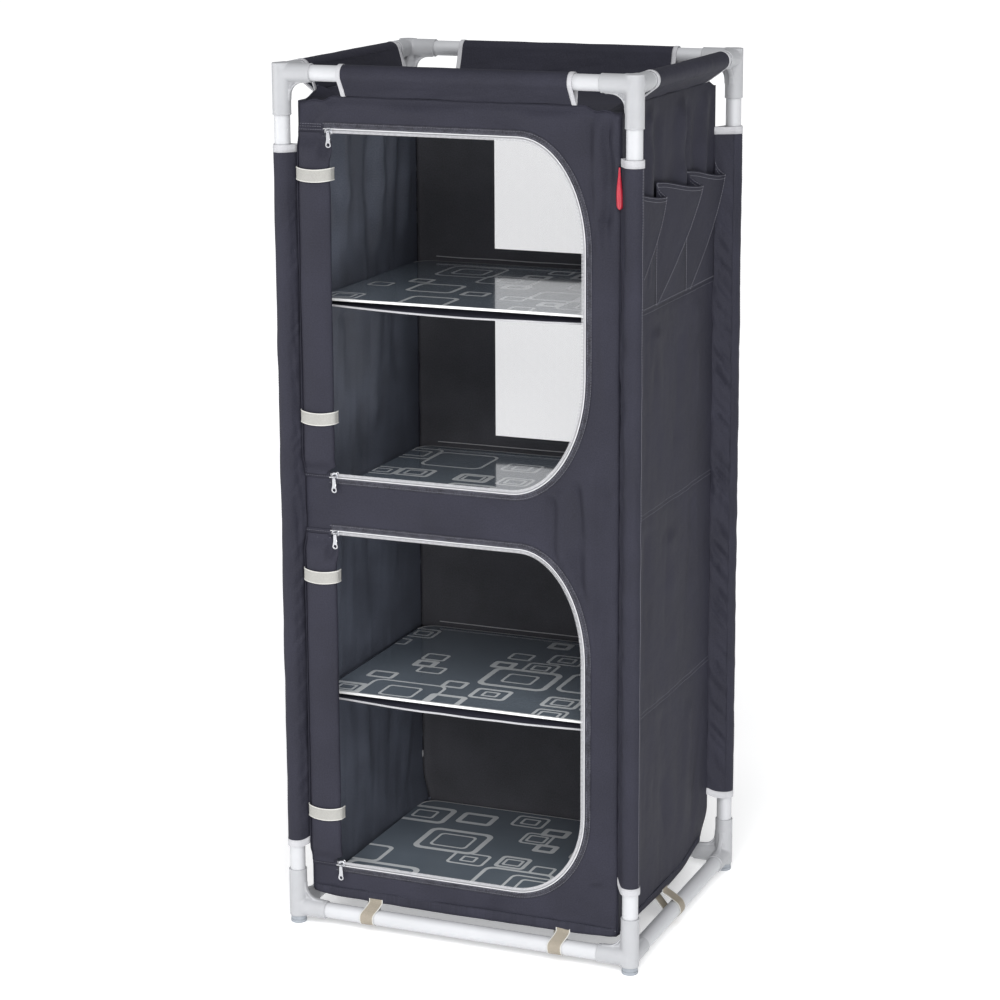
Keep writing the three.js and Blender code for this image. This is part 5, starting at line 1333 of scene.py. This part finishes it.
def boardPiece(shelfName, top, seed):
    b = board
    outline = [(-b["half"], b["front"]), (b["half"], b["front"])]
    for signX, start in ((1, 0), (-1, 90)):
        for step in range(9):
            angle = math.radians(start + 90 * step / 8)
            outline.append((signX * (b["half"] - b["corner"]) + b["corner"] * math.cos(angle),
                            b["back"] - b["corner"] + b["corner"] * math.sin(angle)))
    outline = np.array(outline)
    centre = np.array([0, 8.0])
    inner = outline - unit(outline - centre) * b["edge"] * 1.3
    trimLoop = inner - unit(inner - centre) * np.where(inner[:, 1:] < b["front"] + 9, 1.3, 1.0) * b["trim"]
    rings = printRings(seed)
    flat, triangles, middles = triangulated([inner, trimLoop] + [loop for ring in rings for loop in ring])
    keep = inLoop(middles, inner)
    used, triangles = np.unique(triangles[keep], return_inverse=True)  # no loose points are left
    flat, triangles, middles = flat[used], triangles.reshape(-1, 3), middles[keep]
    printed = np.zeros(len(middles), bool)
    for outer, hole in rings:
        printed |= inLoop(middles, outer) & ~inLoop(middles, hole)
    # the edging shows along the front and the back only; the pale band at the back is partly real edging and partly a
    # painted highlight along the back edge, which is why it is drawn this wide
    atEnds = (middles[:, 1] > b["back"] - 40) | (middles[:, 1] < b["front"] + 9)
    slots = np.where(inLoop(middles, trimLoop) | ~atEnds, printed.astype(int), 2)
    count, n = len(flat), len(outline)
    low = top - b["thick"]
    points = [(x, y, top) for x, y in flat]
    levels = [(outline, top - b["edge"]), (outline, low + b["edge"]), (inner, low)]
    for loop, z in levels:
        points += [(x, y, z) for x, y in loop]
    rim = [int(np.argmin(np.hypot(*(flat - p).T))) for p in inner]
    faces, slotList = [tuple(t) for t in triangles], list(slots)
    chain = [rim] + [[count + level * n + i for i in range(n)] for level in range(3)]
    for a, c in zip(chain, chain[1:]):
        for i in range(n):
            faces.append((a[i], a[(i + 1) % n], c[(i + 1) % n], c[i]))
            slotList.append(2)
    faces.append(tuple(chain[-1]))
    slotList.append(0)
    data = meshFrom(f"board_{shelfName}", points, faces, [slate, printedLaminate, edging], faceMaterials=slotList,
                    sharp=30)
    addPiece(f"board_{shelfName}", data, body=f"shelf_{shelfName}", nodes=[f"shelf_board_{shelfName}"])


for number, (shelfName, top) in enumerate(zip(("bottom", "lower", "middle", "upper"), boardTops)):
    boardPiece(shelfName, top, 200 + number)
print("boards made")

# Slings that carry the upper three boards, each with light piping along its front edge and a thin bead behind
sling = {"front": -192.0, "back": 214.4, "half": 263.0, "sag": 7.0, "drop": 5.0, "hem": 30.0, "piping": 1.6,
         "bead": 0.8, "beadRise": 6.5}
for number, (shelfName, top) in enumerate(zip(("lower", "middle", "upper"), boardTops[1:])):
    deep = sling["front"] + (sling["back"] - sling["front"]) * np.linspace(0, 1, 78) ** 1.6  # closer at the front
    u, v = np.meshgrid(np.linspace(-sling["half"], sling["half"], 106), deep)
    hem = 1 - smoothStep(0, sling["hem"], v - sling["front"])
    across = np.sin(np.pi * (u / sling["half"] + 1) / 2)
    wave = 0.7 * softNoise(u / 46, v / 60, 110 + number) * hem
    bed = top - board["thick"] - 0.5  # where the board lies
    z = bed - (sling["sag"] * across + sling["drop"]) * hem + wave
    gridSheet(f"sling_{shelfName}", np.stack([u, v, z], -1), (u, v), [oxford, lining], (0, 0, 1), (526, 407),
              "stretched", nodes=[f"shelf_sling_{shelfName}"], lined=True,
              rests=["side_cloth_left", "side_cloth_right"])
    frontLine = np.stack([u[0], v[0] - 0.9, z[0] - 0.3], 1)
    behind = np.linspace(-228, 252, 97)
    beadZ = top + sling["beadRise"] + 0.4 * softNoise(behind / 60, number, 115)
    backLine = np.stack([behind, np.full(len(behind), sling["back"] - 1.4), beadZ], 1)
    for end, line, size in (("front", frontLine, sling["piping"]), ("back", backLine, sling["bead"])):
        angles = np.arange(10) * 2 * math.pi / 10
        ring = np.stack([0 * angles, np.cos(angles) * size, np.sin(angles) * size], 1)
        points = (line[:, None, :] + ring[None]).reshape(-1, 3)
        run = np.arange(len(line)) * 5.0
        flat = np.stack([np.repeat(run, 10), np.tile(angles * size, len(line))], 1)
        faces = gridFaces(10, len(line) - 1, loop=True)
        faces += [tuple(range(9, -1, -1)), tuple(range(len(points) - 10, len(points)))]
        data = meshFrom(f"piping_{shelfName}_{end}", points, turned(points, faces), [grosgrain], place=flat)
        addPiece(f"piping_{shelfName}_{end}", data)
print("slings made")

# Straps sewn under the floor, led round the bottom rails and up to the walls' lower seam
strap = {"width": 24.0, "thick": 1.2, "lap": 12.0, "floorZ": 47.6, "wallZ": 50.5, "front": (-160.0, 165.0),
         "side": -20.0}


def strapPath(wallOut, railOut):
    radius = tube["radius"] + 0.3 + strap["thick"] / 2
    rail = np.array([railOut, cupboard["bottomRail"]])
    start = np.array([wallOut - strap["lap"], strap["floorZ"]])
    end = np.array([wallOut + 1.8, strap["wallZ"]])

    def tangent(point, way):  # the angle at which a straight from the point meets the rail
        reach = point - rail
        return math.atan2(reach[1], reach[0]) + way * math.acos(radius / np.linalg.norm(reach))

    first, last = tangent(start, 1), tangent(end, -1) + 2 * math.pi
    while last <= first:
        last += 2 * math.pi
    around = np.linspace(first, last, 40)
    path = [start, *[rail + radius * np.array([math.cos(a), math.sin(a)]) for a in around], end, end + (0.3, 5)]
    return resampled(np.array(path), 2.0)


def strapPiece(name, path, across, out, middle):
    # path is given across the rail as (way out, height); across runs along the rail
    v = np.linspace(-0.5, 0.5, 17)
    seed = 130 + sum(map(ord, name)) % 40
    drift = 0.6 * softNoise(np.arange(len(path)) / 14, 0, seed)
    way = unit(np.gradient(path, axis=0))
    square = np.stack([-way[:, 1], way[:, 0]], 1)
    edge = 0.25 * (np.abs(v) > 0.44)
    outAll = path[None, :, 0] - square[None, :, 0] * edge[:, None]
    highAll = path[None, :, 1] - square[None, :, 1] * edge[:, None]
    slant = 9 * smoothStep(30, 50, path[:, 1]) * smoothStep(0.4, 0.6, np.arange(len(path)) / len(path))
    along = v[:, None] * strap["width"] + drift[None, :] + slant[None, :]
    across, out = np.asarray(across, float), np.asarray(out, float)
    grid = (np.asarray(middle, float) + along[..., None] * across + outAll[..., None] * out
            + highAll[..., None] * np.array([0, 0, 1.0]))
    run = np.arange(len(path)) * 2.0
    stripSheet(name, grid, run, strap["width"], webbing, (run[-1], strap["width"]), nodes=["floor_panel"],
               thickness=1.0)


for x in strap["front"]:
    sideName = "left" if x < 0 else "right"
    strapPiece(f"strap_front_{sideName}", strapPath(-boxFront, legY), (1, 0, 0), (0, -1, 0), (x, 0, 0))
    strapPiece(f"strap_back_{sideName}", strapPath(boxBack, legY), (1, 0, 0), (0, 1, 0), (x, 0, 0))
for sideName, sign in (("right", 1), ("left", -1)):
    strapPiece(f"strap_{sideName}", strapPath(boxX, legX), (0, 1, 0), (sign, 0, 0), (0, strap["side"], 0))

# A plain loop of ribbon in the seam at the right of the front, narrow at the seam and full at its lower end
tab = {"x": 262.6, "low": 1200, "length": 62, "neck": 2.6, "spread": 7.6, "bow": 3.4}
u, v = np.meshgrid(np.linspace(-0.5, 0.5, 9), np.linspace(0, 1, 40))
rounded = np.sqrt(np.clip(1 - np.clip(1 - v / 0.09, 0, 1) ** 2, 0.1, 1))
x = tab["x"] + u * (tab["neck"] + tab["spread"] * smoothStep(0.0, 0.7, 1 - v)) * rounded + 1.0 * (1 - v)
z = tab["low"] + tab["length"] * v
y = boxFront - 2.4 - 1.4 * np.sin(np.pi * (1 - v)) - tab["bow"] * (1 - (2 * u) ** 2) * smoothStep(0, 0.5, 1 - v)
gridSheet("ribbon_tab", np.stack([x, y, z], -1), (u * 11, v * 66), [ribbon], (0, -1, 0), (66, 10), "hung",
          nodes=["side_tab"], thickness=0.8, offset=0.0, slot="tab")
print("straps and tab made")

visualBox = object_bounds()
{"cad": [list(corner) for corner in cadBox], "visual": [list(corner) for corner in visualBox]}
